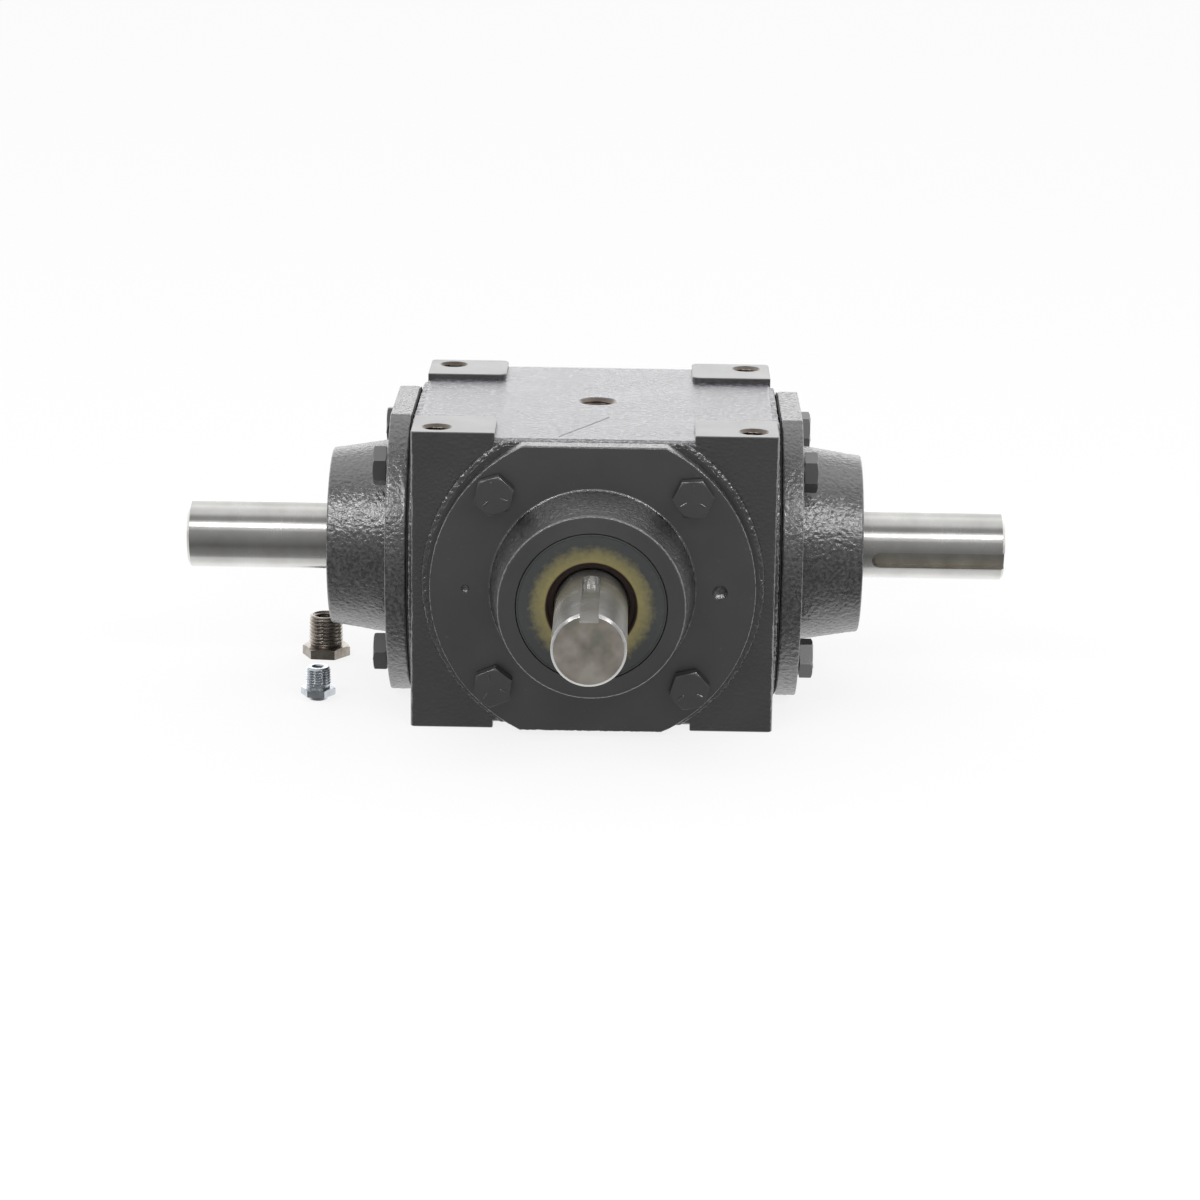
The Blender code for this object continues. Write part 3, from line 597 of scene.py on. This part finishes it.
def rough_block():
    """The cast cube as a fine grid with rounded edges, its skin sunk by the grain of the sand mould."""
    half = np.array([HALF_WIDTH, HALF_WIDTH, CAST_TOP])
    lines = [axis_steps(size, CAST_EDGE_R, step) for size, step in zip(half, BLOCK_STEPS)]
    points, faces = [], []
    for axis in range(3):
        u, v = lines[(axis + 1) % 3], lines[(axis + 2) % 3]
        grid = np.stack(np.meshgrid(u, v, indexing="ij"), -1).reshape(-1, 2)
        cells = np.arange(len(u) * len(v)).reshape(len(u), len(v))
        quads = np.stack([cells[:-1, :-1], cells[1:, :-1], cells[1:, 1:], cells[:-1, 1:]], -1)
        quads = quads.reshape(-1, 4)
        for side in (-1, 1):
            wall = np.empty((len(grid), 3))
            wall[:, axis] = side * half[axis]
            wall[:, (axis + 1) % 3], wall[:, (axis + 2) % 3] = grid.T
            faces.append((quads if side > 0 else quads[:, ::-1]) + sum(map(len, points)))
            points.append(wall)
    corners, index = np.unique(np.round(np.concatenate(points), 4), axis=0, return_inverse=True)
    faces = index.reshape(-1)[np.concatenate(faces)]
    inner = np.clip(corners, -(half - CAST_EDGE_R), half - CAST_EDGE_R)
    outwards = corners - inner
    outwards /= np.linalg.norm(outwards, axis=1, keepdims=True)
    skin = inner + outwards * CAST_EDGE_R
    on_edge = np.abs(outwards).max(axis=1) < 0.98
    on_top = np.abs(outwards[:, 2]) > 0.9
    depth = np.where(on_top, BLOCK_GRAIN_DEPTHS["top"], BLOCK_GRAIN_DEPTHS["side"])
    depth[on_edge] = BLOCK_GRAIN_DEPTHS["edge"]
    from_port = np.hypot(skin[:, 0], skin[:, 1])
    near_port = (outwards[:, 2] > 0.9) * np.exp(-((from_port / PORT_SWELL_R) ** 2))
    depth = depth * (1 - 0.8 * near_port)
    skin -= outwards * (depth * grain(skin, BLOCK_GRAIN_SIZE, 1))[:, None]
    skin[:, 2] += PORT_SWELL * near_port
    return solid("gearbox_housing", skin, faces.tolist(), CAST_FRAME)


def machined_pad(sx, sy, bottom, top):
    """A square pad on one corner, with a small chamfer round its machined face."""
    x, y = PAD_INNER
    low, high = (x, y), (HALF_WIDTH, HALF_WIDTH)
    radii = (3.4, 0.5, 1.6, 2.4 if sy > 0 else 0.6)
    chamfer = 0.3
    levels = ((0.0, bottom), (0.0, top - math.copysign(chamfer, top)), (chamfer, top))
    rings = [rounded_rectangle(low, high, radii, height, inset) for inset, height in levels]
    return loft("pad", rings, CAST_FRAME @ Matrix.Diagonal((sx, sy, 1, 1)))


def boss_plate(place, seed):
    """The raised ring that a cap seats on. Its rounded rim is left coarse from the mould."""
    rim = [(BOSS_RIM * (1 - math.cos(a)), BOSS_FACE - 0.95 * (1 - math.sin(a)), 1)
           for a in np.linspace(0.15, 0.5, 8) * math.pi]
    levels = [(0.0, HALF_WIDTH - 2, 0), (0.0, HALF_WIDTH - 0.5, 1), (0.0, HALF_WIDTH + 0.1, 1), *rim]

    def ring_at(inset, height=0.0):
        return flatted_circle(BOSS_R - inset, BOSS_FLAT - inset, height, BOSS_STEPS)

    direction = inward(ring_at)
    direction[:, 2] = -0.8
    rings = []
    for inset, height, weight in levels:
        rings.append(sink(ring_at(inset, height), direction, weight, BOSS_GRAIN, seed))
    rings.append(ring_at(BOSS_RIM + 0.5, BOSS_FACE))
    return loft("boss", rings, place)


def threaded_hole(centre, bottom, top, crest, thread, place, threads=None, count=32):
    """A cutter for a tapped hole with a countersunk mouth at top.

    With threads, only that length is tapped, and the hole below ends in a drill point.
    """
    depth, pitch = thread
    rings = []
    mouth = 0.7
    last = top - threads if threads else bottom
    for height in np.arange(last, top, pitch / 7):
        radii = np.maximum(thread_radii(crest, thread, height, count), crest + mouth - (top - height))
        rings.append(circle(radii, height, count))
    if threads:
        low = [circle(0.4, bottom, count), circle(crest - depth, bottom + crest * 0.5, count)]
        rings = low + [circle(crest - depth, last - 0.2, count)] + rings
    rings.append(circle(crest + mouth, top, count))
    rings.append(circle(crest + mouth + 0.6, top + 0.6, count))
    shift = np.array([*centre, 0.0])
    return loft("hole", [ring + shift for ring in rings], place)


def bolt_place(place, x, y):
    return place @ Matrix.Translation((x * BOLT_AT, y * BOLT_AT, 0))


def bolt_holes(bottom, top, place):
    profile = [(BOLT_HOLE_R, bottom), (BOLT_HOLE_R, top)]
    return [lathe("hole", profile, 24, bolt_place(place, x, y)) for x, y in CORNERS]


def plug_hole(bottom, face, place):
    profile = [(PLUG_HOLE_R, bottom), (PLUG_HOLE_R, face - 0.3), (PLUG_HOLE_R + 0.5, face + 0.2)]
    return lathe("plug_hole", profile + [(PLUG_HOLE_R + 0.5, face + 3)], 40, place)


def make_housing():
    housing = rough_block()
    pads, holes = [], []
    for sx, sy in CORNERS:
        pads.append(machined_pad(sx, sy, CAST_TOP - 6, PAD_TOP))
        pads.append(machined_pad(sx, sy, 6 - CAST_TOP, -PAD_TOP))
        at = (sx * PAD_HOLE_AT, sy * PAD_HOLE_AT)
        for place in (CAST_FRAME, CAST_FRAME @ UPSIDE_DOWN):
            bottom = PAD_TOP - PAD_HOLE_DEPTH
            holes.append(threaded_hole(at, bottom, PAD_TOP, PAD_THREAD_R, PAD_THREAD, place, threads=7.0))
    bosses = [boss_plate(place, seed) for seed, place in enumerate(PORTS.values(), start=3)]
    combine(housing, "UNION", *pads, *bosses)
    half, tall = CHAMBER_HALF
    chamber = [rounded_rectangle((-half, -half), (half, half), (CHAMBER_CORNER_R,) * 4, height, steps=10)
               for height in (-tall, tall)]
    cuts = [loft("chamber", chamber, CAST_FRAME)]
    bore = [(HOUSING_BORE_R, half - 6), (HOUSING_BORE_R, 65.5)]
    bore += [(HOUSING_BORE_R + 0.9, BOSS_FACE + 0.1), (HOUSING_BORE_R + 0.9, BOSS_FACE + 2)]
    for place in PORTS.values():
        cuts.append(lathe("bore", bore, 96, place))
        cuts += bolt_holes(BOLT_HOLE_END, BOSS_FACE + 2, place)
    cuts.append(threaded_hole((0, 0), tall - 3, CAST_TOP, PORT_THREAD_R, PORT_THREAD, CAST_FRAME, count=40))
    cuts.append(plug_hole(tall - 3, CAST_TOP, CAST_FRAME @ UPSIDE_DOWN))
    cuts.append(plug_hole(half - 3, HALF_WIDTH, CAST_FRAME @ TO_THE_REAR))
    combine(housing, "DIFFERENCE", *cuts, *holes)

    def choose(centre, normal):
        cast, top, smooth, bare = range(4)
        height = np.abs(centre[:, 2])
        flat_up = np.abs(normal[:, 2]) > 0.6
        index = np.full(len(centre), cast)
        # Upward cast faces take the top paint, with painted reflection in its grain.
        index[flat_up & (height > CAST_TOP - 0.6)] = top
        index[height > CAST_TOP + 0.45] = smooth
        boss = np.abs(centre[:, :2]).max(axis=1) > HALF_WIDTH + 0.6
        index[boss & (np.abs(normal[:, :2]).max(axis=1) > 0.95)] = smooth
        from_hole = np.hypot(np.abs(centre[:, 0]) - PAD_HOLE_AT, np.abs(centre[:, 1]) - PAD_HOLE_AT)
        from_port = np.hypot(centre[:, 0], centre[:, 1])
        in_hole = (from_hole < PAD_THREAD_R + 0.55) & (height > PAD_TOP - PAD_HOLE_DEPTH - 0.5)
        index[in_hole & (height < PAD_TOP - 0.05)] = bare
        index[(from_port < PORT_THREAD_R + 0.6) & (height > tall - 0.5) & (height < CAST_TOP)] = bare
        return index

    materials = [CAST_PAINT, TOP_PAINT, SMOOTH_PAINT, BORE_STEEL]
    finish_piece(housing, "housing", materials, ["housing"], choose)


def hub_solid(place, seed):
    """The tapering hub, rough all round, with a small fillet at its root and a machined face."""
    root = [(x, y, 0.7) for x, y in arc(HUB_ROOT_R, FLANGE_FACE + 1.15, 1.15, 270, 186, 4)]
    tip = [(x, y, 0.6) for x, y in arc(31.95, HUB_FACE - 0.85, 0.85, 8, 90, 4)]
    profile = [(30.0, 70.0, 0), (HUB_ROOT_R, 72.0, 0), (HUB_ROOT_R, FLANGE_FACE - 0.2, 0.2), *root]
    profile = dense(profile + [(35.4, 80.0, 1), (33.2, 93.5, 1), *tip], 0.45)
    profile += [(30.5, HUB_FACE, 0), (27.6, HUB_FACE, 0), (20.0, HUB_FACE, 0)]
    direction = inward(lambda inset: circle(2 - inset, 0, HUB_STEPS))
    rings = []
    for radius, height, weight in profile:
        ring = circle(radius, height, HUB_STEPS)
        rings.append(sink(ring, direction, weight, CAP_GRAIN, seed) if weight else ring)
    return loft("hub", rings, place)


def flange_plate(place, seed):
    """The round flange with flats above and below; only its two faces are machined."""
    levels = [(0.5, FLANGE_SEAT, 0), (0.12, FLANGE_SEAT + 0.3, 1)]
    levels += [(0.0, height, 1) for height in np.linspace(FLANGE_SEAT + 0.6, FLANGE_FACE - 0.8, 14)]
    levels += [(0.04, FLANGE_FACE - 0.45, 1), (0.18, FLANGE_FACE - 0.18, 0.9)]
    levels += [(0.42, FLANGE_FACE - 0.04, 0.7), (0.7, FLANGE_FACE, 0.4), (3.0, FLANGE_FACE, 0)]

    def ring_at(inset, height=0.0):
        return flatted_circle(FLANGE_R - inset, FLANGE_FLAT - inset, height, FLANGE_STEPS)

    direction = inward(ring_at)
    rings = []
    for inset, height, weight in levels:
        ring = ring_at(inset, height)
        rings.append(sink(ring, direction, weight, CAP_GRAIN, seed) if weight else ring)
    return loft("flange", rings, place)


def make_cap(port, seed):
    place = PORTS[port]
    end = SPIGOT_END[port]
    cap = flange_plate(place, seed)
    cap.name = f"{port}_bearing_cap"
    spigot = [(SPIGOT_R - 0.8, end), (SPIGOT_R, end + 0.8), (SPIGOT_R, FLANGE_FACE - 3)]
    combine(cap, "UNION", hub_solid(place, seed + 10), lathe("spigot", spigot, 96, place))
    low, high = CUP_STOP[port]
    inside = [(CUP_BORE_R, end - 1), (CUP_BORE_R, low), (STOP_BORE_R, low), (STOP_BORE_R, high)]
    if high < SEAL_SHELF:
        inside += [(CUP_BORE_R, high), (CUP_BORE_R, SEAL_SHELF)]
    inside += [(SEAL_BORE_R, SEAL_SHELF), (SEAL_BORE_R, HUB_FACE - 0.2)]
    inside += [(SEAL_BORE_R + 0.4, HUB_FACE + 0.2), (SEAL_BORE_R + 0.4, HUB_FACE + 2)]
    cuts = [lathe("inside", inside, 160, place), *bolt_holes(FLANGE_SEAT - 2, FLANGE_FACE + 2, place)]
    for x, radius in DIMPLES.items():
        dimple = [*arc(0, FLANGE_FACE + 0.57 * radius, radius, 273, 330, 8), (radius, FLANGE_FACE + 3)]
        cuts.append(lathe("dimple", dimple, 32, place @ Matrix.Translation((x, 0, 0))))
    combine(cap, "DIFFERENCE", *cuts)
    inverse = np.array((CAST_FRAME.inverted() @ place).to_3x3().inverted())

    def choose(centre, normal):
        flecked, smooth, painted_lift_hub = range(3)
        local, facing = centre @ inverse.T, normal @ inverse.T
        height = local[:, 2]
        index = np.full(len(centre), flecked)
        # The input hub takes the paler copy of the paint, which is painted light.
        if port == "input":
            index[height > FLANGE_FACE + 1] = painted_lift_hub
        on_face = (height > HUB_FACE - 0.05) | (np.abs(height - FLANGE_FACE) < 0.05)
        index[(facing[:, 2] > 0.97) & on_face] = smooth
        index[np.hypot(local[:, 0], local[:, 1]) < SEAL_BORE_R + 0.7] = smooth
        return index

    materials = [GLINT_FLECKED_PAINT, SMOOTH_PAINT, LIT_HUB_PAINT]
    finish_piece(cap, "housing", materials, [f"{port}_cap"], choose)


def make_gasket(port):
    place = PORTS[port]
    levels = (GASKET_LOW, GASKET_HIGH)
    rings = [flatted_circle(GASKET_R, GASKET_FLAT, height, GASKET_STEPS) for height in levels]
    gasket = loft(f"{port}_gasket_sheet", rings, place)
    below, above = GASKET_LOW - 1, GASKET_HIGH + 1
    bore = lathe("bore", [(GASKET_BORE_R, below), (GASKET_BORE_R, above)], 96, place)
    combine(gasket, "DIFFERENCE", bore, *bolt_holes(below, above, place))
    finish_piece(gasket, "housing", [GASKET], [f"{port}_gasket"])


def make_bolt(port, number):
    """A painted hex bolt: washer face, chamfered crown and three plain radial grade marks."""
    place = bolt_place(PORTS[port], *CORNERS[number - 1]) @ turned(BOLT_TURNS[port][number - 1])
    seat, crown_top = FLANGE_FACE + FACE_GAP, BOLT_TOP - BOLT_MARK
    hexes = [hexagon(BOLT_HEX, height) for height in (seat + 0.35, crown_top)]
    bolt = loft(f"{port}_hex_bolt_{number}", hexes, place)
    crown = [(6.1, seat), (6.1, seat + 0.3), (7.6, seat + 0.5), (7.6, BOLT_TOP - 0.85)]
    crown += [(6.2, crown_top), (3.0, crown_top)]
    combine(bolt, "INTERSECT", lathe("crown", crown, 64, place))
    bevel = bolt.modifiers.new("worn_edges", "BEVEL")
    bevel.width = 0.2 * MM
    bevel.segments = 2
    bevel.limit_method = "ANGLE"
    bevel.angle_limit = math.radians(25)
    bake(bolt)
    parts = [lathe("washer_face", [(6.1, seat), (6.1, seat + 0.6)], 64, place)]
    parts.append(lathe("shank", [(3.2, BOLT_TIP), (3.9, BOLT_TIP + 0.8), (3.9, seat + 1)], 32, place))
    for turn in BOLT_MARK_TURNS:
        rings = [rounded_rectangle((2.6, -0.28), (5.2, 0.28), (0.27,) * 4, height, inset, 3)
                 for inset, height in ((0.0, BOLT_TOP - 0.5), (0.0, BOLT_TOP - 0.08), (0.12, BOLT_TOP))]
        parts.append(loft("mark", rings, place @ turned(turn)))
    combine(bolt, "UNION", *parts)
    finish_piece(bolt, "housing", [SMOOTH_PAINT], [f"{port}_cap_bolt_{number}"], sharp=30.0)


# Seals, shafts and fittings ---------------------------------------------------------------------------


def make_seal(port):
    """A lip seal: a thin metal-backed wall, a shallow moulded step, and a lip that leans in to the shaft."""
    bead = [(-0.75, 0.0), (-0.6, 0.2), (-0.35, 0.28), (-0.1, 0.18), (0.0, 0.0)]
    profile = [(SEAL_R + aside, SEAL_FACE + above) for aside, above in bead]
    profile += [(SEAL_R, SEAL_BACK), (SEAL_R - 2, SEAL_BACK), (SEAL_R - 2, SEAL_FACE - 1.8)]
    profile += [(16.7, SEAL_FACE - 1.8), (15.6, SEAL_BACK + 1), (14.3, SEAL_BACK + 1)]
    lip_and_step = [(13.05, -4.4), (13.4, -3.3), (14.9, -2.2), (15.2, -1.0), (15.75, -0.45), (16.1, -0.1),
                    (16.5, 0.0), (21.3, -0.25), (21.7, -0.05), (22.1, 0.0)]
    profile += [(radius, SEAL_FACE + above) for radius, above in lip_and_step]
    seal = lathe(f"{port}_lip_seal", profile, 160, PORTS[port], wrap=True)
    axis = "Y" if port == "input" else "X"
    finish_piece(seal, "housing", [RUBBER[axis]], [f"{port}_seal"], sharp=32.0)


def keyway_cutter(surface_r, start, end, turn, place, round_start=False):
    """A slot along a shaft, cut down from its surface, with the round end that an end mill leaves."""
    half = KEY / 2
    inner = [(start, half), (start, -half)]
    if round_start:
        inner = arc(start + half, 0, half, 90, 270, 24)
    outline = inner + [(end, -half), (end, half)]
    levels = (surface_r - KEYWAY_DEPTH, surface_r + 3)
    rings = [np.array([(height, y, x) for x, y in outline]) for height in levels]
    return loft("keyway", rings, place @ turned(turn))


def grooved(radius, start):
    """The part of a profile with a groove for a retaining ring."""
    low, high = start - 0.3, start + 1.6
    return [(radius, low), (radius - 0.9, low), (radius - 0.9, high), (radius, high)]


def shaft_end(reach):
    """The profile of a shaft's end: a chamfer whose edges are slightly rubbed off, and the face."""
    inner_r, edge = SHAFT_R - SHAFT_CHAMFER, reach - SHAFT_CHAMFER
    return [(SHAFT_R, edge - 0.1), (SHAFT_R - 0.03, edge), (inner_r, reach - 0.03), (inner_r - 0.1, reach)]


def shaft_chooser(column, milled):
    """Chooses the ground bar, 0, the faced ends, 1, or milled, the number of the keyway's material.

    column is the coordinate that the shaft runs along.
    """
    def choose(centre, normal):
        ground, faced = 0, 1
        along = np.abs(centre[:, column])
        radius = np.hypot(centre[:, 1 - column], centre[:, 2])
        face = (along > SHAFT_REACH - 0.02) & (np.abs(normal[:, column]) > 0.98)
        keyway = (radius < SHAFT_R - 0.2) & (along > KEYWAY_START) & (along < SHAFT_REACH - 1.2)
        return np.where(face, faced, np.where(keyway, milled, ground))

    return choose


def make_through_shaft():
    place = PORTS["right"]
    shoulder = BEARING_AT - 0.3
    outer = shaft_end(SHAFT_REACH)
    profile = [(radius, -height) for radius, height in outer[::-1]]
    profile += [(SHAFT_R, -shoulder), (GEAR_SEAT_R, -shoulder), *grooved(GEAR_SEAT_R, GEAR_RING_AT)]
    profile += [(GEAR_SEAT_R, shoulder), (SHAFT_R, shoulder), *outer]
    shaft = lathe("through_shaft_bar", profile, 160, place)
    end = SHAFT_REACH + 2
    leftwards = place @ Matrix.Rotation(math.pi, 4, "Y")
    cuts = [keyway_cutter(SHAFT_R, KEYWAY_START, end, KEYWAY_TURN["right"], place, True)]
    cuts.append(keyway_cutter(SHAFT_R, KEYWAY_START, end, KEYWAY_TURN["left"], leftwards, True))
    cuts.append(keyway_cutter(GEAR_SEAT_R, *GEAR_KEY, KEYWAY_TURN["right"], place))
    combine(shaft, "DIFFERENCE", *cuts)
    materials = [GROUND["X"], FACED["X"], MILLED]
    choose = shaft_chooser(column=0, milled=2)
    finish_piece(shaft, "through_shaft", materials, ["through_shaft"], choose, sharp=30.0)


def make_input_shaft():
    place = PORTS["input"]
    profile = [(SHAFT_R - SHAFT_CHAMFER, SHAFT_NOSE), (SHAFT_R, SHAFT_NOSE + SHAFT_CHAMFER)]
    profile += grooved(SHAFT_R, GEAR_RING_AT) + grooved(SHAFT_R, BEARING_RING_AT) + shaft_end(SHAFT_REACH)
    shaft = lathe("input_shaft_bar", profile, 160, place)
    turn = KEYWAY_TURN["input"]
    keyway = keyway_cutter(SHAFT_R, KEYWAY_START, SHAFT_REACH + 2, turn, place, True)
    combine(shaft, "DIFFERENCE", keyway, keyway_cutter(SHAFT_R, *GEAR_KEY, turn, place))
    materials = [GROUND["Y"], FACED["Y"]]
    choose = shaft_chooser(column=1, milled=0)
    finish_piece(shaft, "input_shaft", materials, ["input_shaft"], choose, sharp=30.0)


def standing(node):
    """A frame at the foot of a loose fitting, on its axis, and the fitting's height."""
    low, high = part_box(node)
    middle = (low + high) / 2
    place = Matrix.Translation((middle.x, middle.y, low.z)) @ Matrix.Scale(MM, 4)
    return place, (high.z - low.z) / MM


def threaded_post(low_r, high_r, thread, start, end, place, count=72):
    """A tapered pipe thread that runs out into a chamfer at its end."""
    depth, pitch = thread
    rings = [circle(low_r - depth, start - 1.0, count)]
    for height in np.arange(start, end, pitch / 9):
        share = (height - start) / (end - start)
        crest = low_r + (high_r - low_r) * share
        chamfer = min(crest, crest - 0.75 + (end - height) * 1.1)
        radii = np.minimum(thread_radii(crest, thread, height, count), chamfer)
        run_in = np.clip((height - start) / (pitch * 0.8), 0, 1)
        rings.append(circle(radii * run_in + (low_r - depth) * (1 - run_in), height, count))
    rings.append(circle(high_r - 0.8, end, count))
    return loft("post", rings, place)


def chamfered_hex(name, across_flats, bottom, top, turn, place):
    """A hex head, its corners turned off at 30 degrees on the upper side."""
    hexes = loft(name, [hexagon(across_flats, height, turn) for height in (bottom, top)], place)
    corner, flat = across_flats / math.sqrt(3) + 0.1, across_flats / 2 + 0.15
    drop = (corner - flat) * math.tan(math.radians(30))
    rim = [(corner - 0.3, bottom), (corner, bottom + 0.2), (corner, top - drop), (flat, top)]
    return combine(hexes, "INTERSECT", lathe("rim", rim, 96, place))


def make_vent_plug():
    """The vent stands on its small cap, with its tapered thread and blind hole upwards."""
    place, height = standing("vent_plug")
    plug = chamfered_hex("vent_plug_body", VENT_HEX, 1.9, 4.6, -4, place)
    nub = [(3.0, 0.0), (3.45, 0.15), (3.65, 0.5), (3.65, 2.4), (4.2, 3.2)]
    post = threaded_post(4.7, 4.5, VENT_THREAD, 5.3, height, place)
    neck = lathe("neck", [(4.3, 3.0), (4.3, 6.0)], 64, place)
    combine(plug, "UNION", lathe("nub", nub, 64, place), post, neck)
    hole = [(0.05, 7.0), (1.9, 7.9), (1.9, height - 0.5), (2.5, height + 0.1), (2.5, height + 1)]
    combine(plug, "DIFFERENCE", lathe("hole", hole, 48, place))
    finish_piece(plug, "vent_plug", [ZINC], ["vent_plug"], sharp=34.0)


def make_reducer_bushing():
    """The hex bushing stands on its hex, tapered thread outside and a straight thread inside."""
    place, height = standing("reducer_bushing")
    bushing = chamfered_hex("reducer_bushing_body", BUSHING_HEX, 0.0, 3.9, -5, place)
    post = threaded_post(6.5, 6.25, BUSHING_THREAD, 4.4, height, place)
    combine(bushing, "UNION", post, lathe("neck", [(5.95, 1.0), (5.95, 5.6)], 64, place))
    count = 48
    rings = [circle(5.6, -1.0, count), circle(5.1, 0.2, count)]
    for level in np.arange(0.6, height - 0.3, BUSHING_BORE_THREAD[1] / 7):
        mouth = max(0.0, 0.7 - (height - level))
        radii = thread_radii(4.75 - 0.2 * level / height, BUSHING_BORE_THREAD, level, count)
        rings.append(circle(radii + mouth, level, count))
    rings += [circle(5.1, height + 0.1, count), circle(5.1, height + 1, count)]
    combine(bushing, "DIFFERENCE", loft("bore", rings, place))
    finish_piece(bushing, "reducer_bushing", [BROWN_STEEL], ["reducer_bushing"], sharp=34.0)


def make_pipe_plug(node, place, face):
    """A socket head pipe plug, screwed in just below the face."""
    top = face - 0.4
    body = [(6.1, top - 7), (6.5, top - 6.4), (6.5, top - 0.5), (6.0, top)]
    plug = lathe(f"{node}_socket_head", body, 64, place)
    socket = loft("socket", [hexagon(SOCKET_HEX, height) for height in (top - 4, top + 2)], place)
    mouth = lathe("mouth", [(2.4, top - 0.9), (3.5, top + 0.2), (3.5, top + 2)], 48, place)
    combine(plug, "DIFFERENCE", socket, mouth)
    finish_piece(plug, "housing", [PLUG_STEEL], [node], sharp=30.0)


def dress_inner_nodes():
    """The nodes that keep their CAD shape inside the gearbox."""
    finishes = {"gear_steel": GEAR_STEEL, "bearing_steel": BEARING_STEEL}
    for part in frame["record"]["subparts"]:
        node = frame["nodes"][part["node"]]
        if not node.hide_render:
            node.data.materials.clear()
            node.data.materials.append(finishes[part["material_slot"]])


# Studio -----------------------------------------------------------------------------------------------


def towards(azimuth, elevation):
    """A unit step from the gearbox at these angles in degrees. Azimuth 0 is the front."""
    a, e = math.radians(azimuth), math.radians(elevation)
    return Vector((math.sin(a) * math.cos(e), -math.cos(a) * math.cos(e), math.sin(e)))


def make_camera():
    """The front view: nearly straight on along the input shaft, from a little above."""
    azimuth, elevation, roll = 0.72, 14.19, 0.776
    aim_down, aim_right = 0.9905, 0.0677
    distance, focal_length, sensor = 1.3126, 105.93, 36.0
    turns = ((azimuth, "Z"), (90 - elevation, "X"), (roll, "Z"), (-aim_down, "X"), (-aim_right, "Y"))
    rotation = Matrix.Identity(4)
    for angle, axis in turns:
        rotation = rotation @ Matrix.Rotation(math.radians(angle), 4, axis)
    data = bpy.data.cameras.new("front_camera")
    data.lens = focal_length
    data.sensor_width = sensor
    camera = bpy.data.objects.new("front_camera", data)
    camera.matrix_world = Matrix.Translation(CROSSING + towards(azimuth, elevation) * distance) @ rotation
    bpy.context.scene.collection.objects.link(camera)
    bpy.context.scene.camera = camera


def softbox(name, azimuth, elevation, distance, width, height, power):
    """An area light aimed at the gearbox."""
    offset = towards(azimuth, elevation) * distance
    data = bpy.data.lights.new(name, "AREA")
    data.shape = "RECTANGLE"
    data.size, data.size_y = width, height
    data.energy = power
    light = bpy.data.objects.new(name, data)
    light.location = CROSSING + offset
    light.rotation_euler = offset.to_track_quat("Z", "Y").to_euler()
    bpy.context.scene.collection.objects.link(light)


def stage_plane(name, half, tone, glow):
    mesh = bpy.data.meshes.new(name)
    corners = [(-half, -half, 0), (half, -half, 0), (half, half, 0), (-half, half, 0)]
    mesh.from_pydata(corners, [], [(0, 1, 2, 3)])
    plane = bpy.data.objects.new(name, mesh)
    bpy.context.scene.collection.objects.link(plane)
    material, tree, shader, where = start_material(name, 0.0, 0.8)
    mottle = ramp(tree, noise_of(tree, where, 3.0), (0.0, tone), (1.0, tone * 1.02))
    tree.links.new(mottle, shader.inputs["Base Color"])
    shader.inputs["Specular IOR Level"].default_value = 0.0
    shader.inputs["Emission Color"].default_value = (1.0, 1.0, 1.0, 1.0)
    shader.inputs["Emission Strength"].default_value = glow
    mesh.materials.append(material)
    return plane


# Name, azimuth, elevation, distance, width, height and luminance
SOFTBOXES = (
    ("front_softbox", 0, 38.5, 2.0, 1.0, 1.05, 0.50),
    ("left_key", -34, 38.5, 2.0, 1.05, 0.30, 10.0),
    ("right_key", 36, 38.5, 2.0, 0.95, 0.30, 10.0),
)
# Luminance of the studio's walls by angle: 0 is level in front, 90 up, 180 level behind, -90 down
STUDIO_TONES = (
    (-180, 1.20), (-117, 1.20), (-100, 0.95), (-80, 0.78), (-73, 0.34), (-60, 0.26), (-45, 0.22), (-30, 0.15),
    (-2, 0.28), (20, 0.40), (50, 0.30), (70, 0.34), (82, 0.85), (100, 0.95), (115, 1.25), (130, 1.00),
    (148, 1.10), (159, 2.25), (172, 2.25), (180, 1.25),
)
FLOOR_HALF = 8.0
FLOOR_TONE = 0.16
FLOOR_GLOW = 0.83


def make_studio():
    """A white floor that keeps out of the reflections, so that these show the studio's soft grey walls."""
    floor = stage_plane("floor", FLOOR_HALF, FLOOR_TONE, FLOOR_GLOW)
    floor.visible_glossy = False
    for name, azimuth, elevation, distance, width, height, luminance in SOFTBOXES:
        softbox(name, azimuth, elevation, distance, width, height, luminance * math.pi * width * height)
    world = bpy.data.worlds.new("studio")
    world.use_nodes = True
    tree = world.node_tree
    axes = add(tree, "SeparateXYZ", Vector=add(tree, "TexCoord").outputs["Generated"])
    forwards = calculate(tree, "MULTIPLY", axes.outputs["Y"], -1.0)
    angle = calculate(tree, "ARCTAN2", axes.outputs["Z"], forwards)
    share = add(tree, "MapRange", Value=angle, From_Min=-math.pi, From_Max=math.pi).outputs["Result"]
    tones = ramp(tree, share, *[(degrees / 360 + 0.5, tone) for degrees, tone in STUDIO_TONES])
    tree.links.new(tones, tree.nodes["Background"].inputs["Color"])
    bpy.context.scene.world = world
    bpy.context.scene.view_settings.view_transform = "Standard"


make_camera()
make_studio()
make_housing()
for number, name in enumerate(PORTS, start=1):
    make_cap(name, 20 * number)
    make_gasket(name)
    make_seal(name)
    for bolt in range(1, 5):
        make_bolt(name, bolt)
make_through_shaft()
make_input_shaft()
make_vent_plug()
make_reducer_bushing()
make_pipe_plug("drain_plug", CAST_FRAME @ UPSIDE_DOWN, CAST_TOP)
make_pipe_plug("level_plug", CAST_FRAME @ TO_THE_REAR, HALF_WIDTH)
dress_inner_nodes()
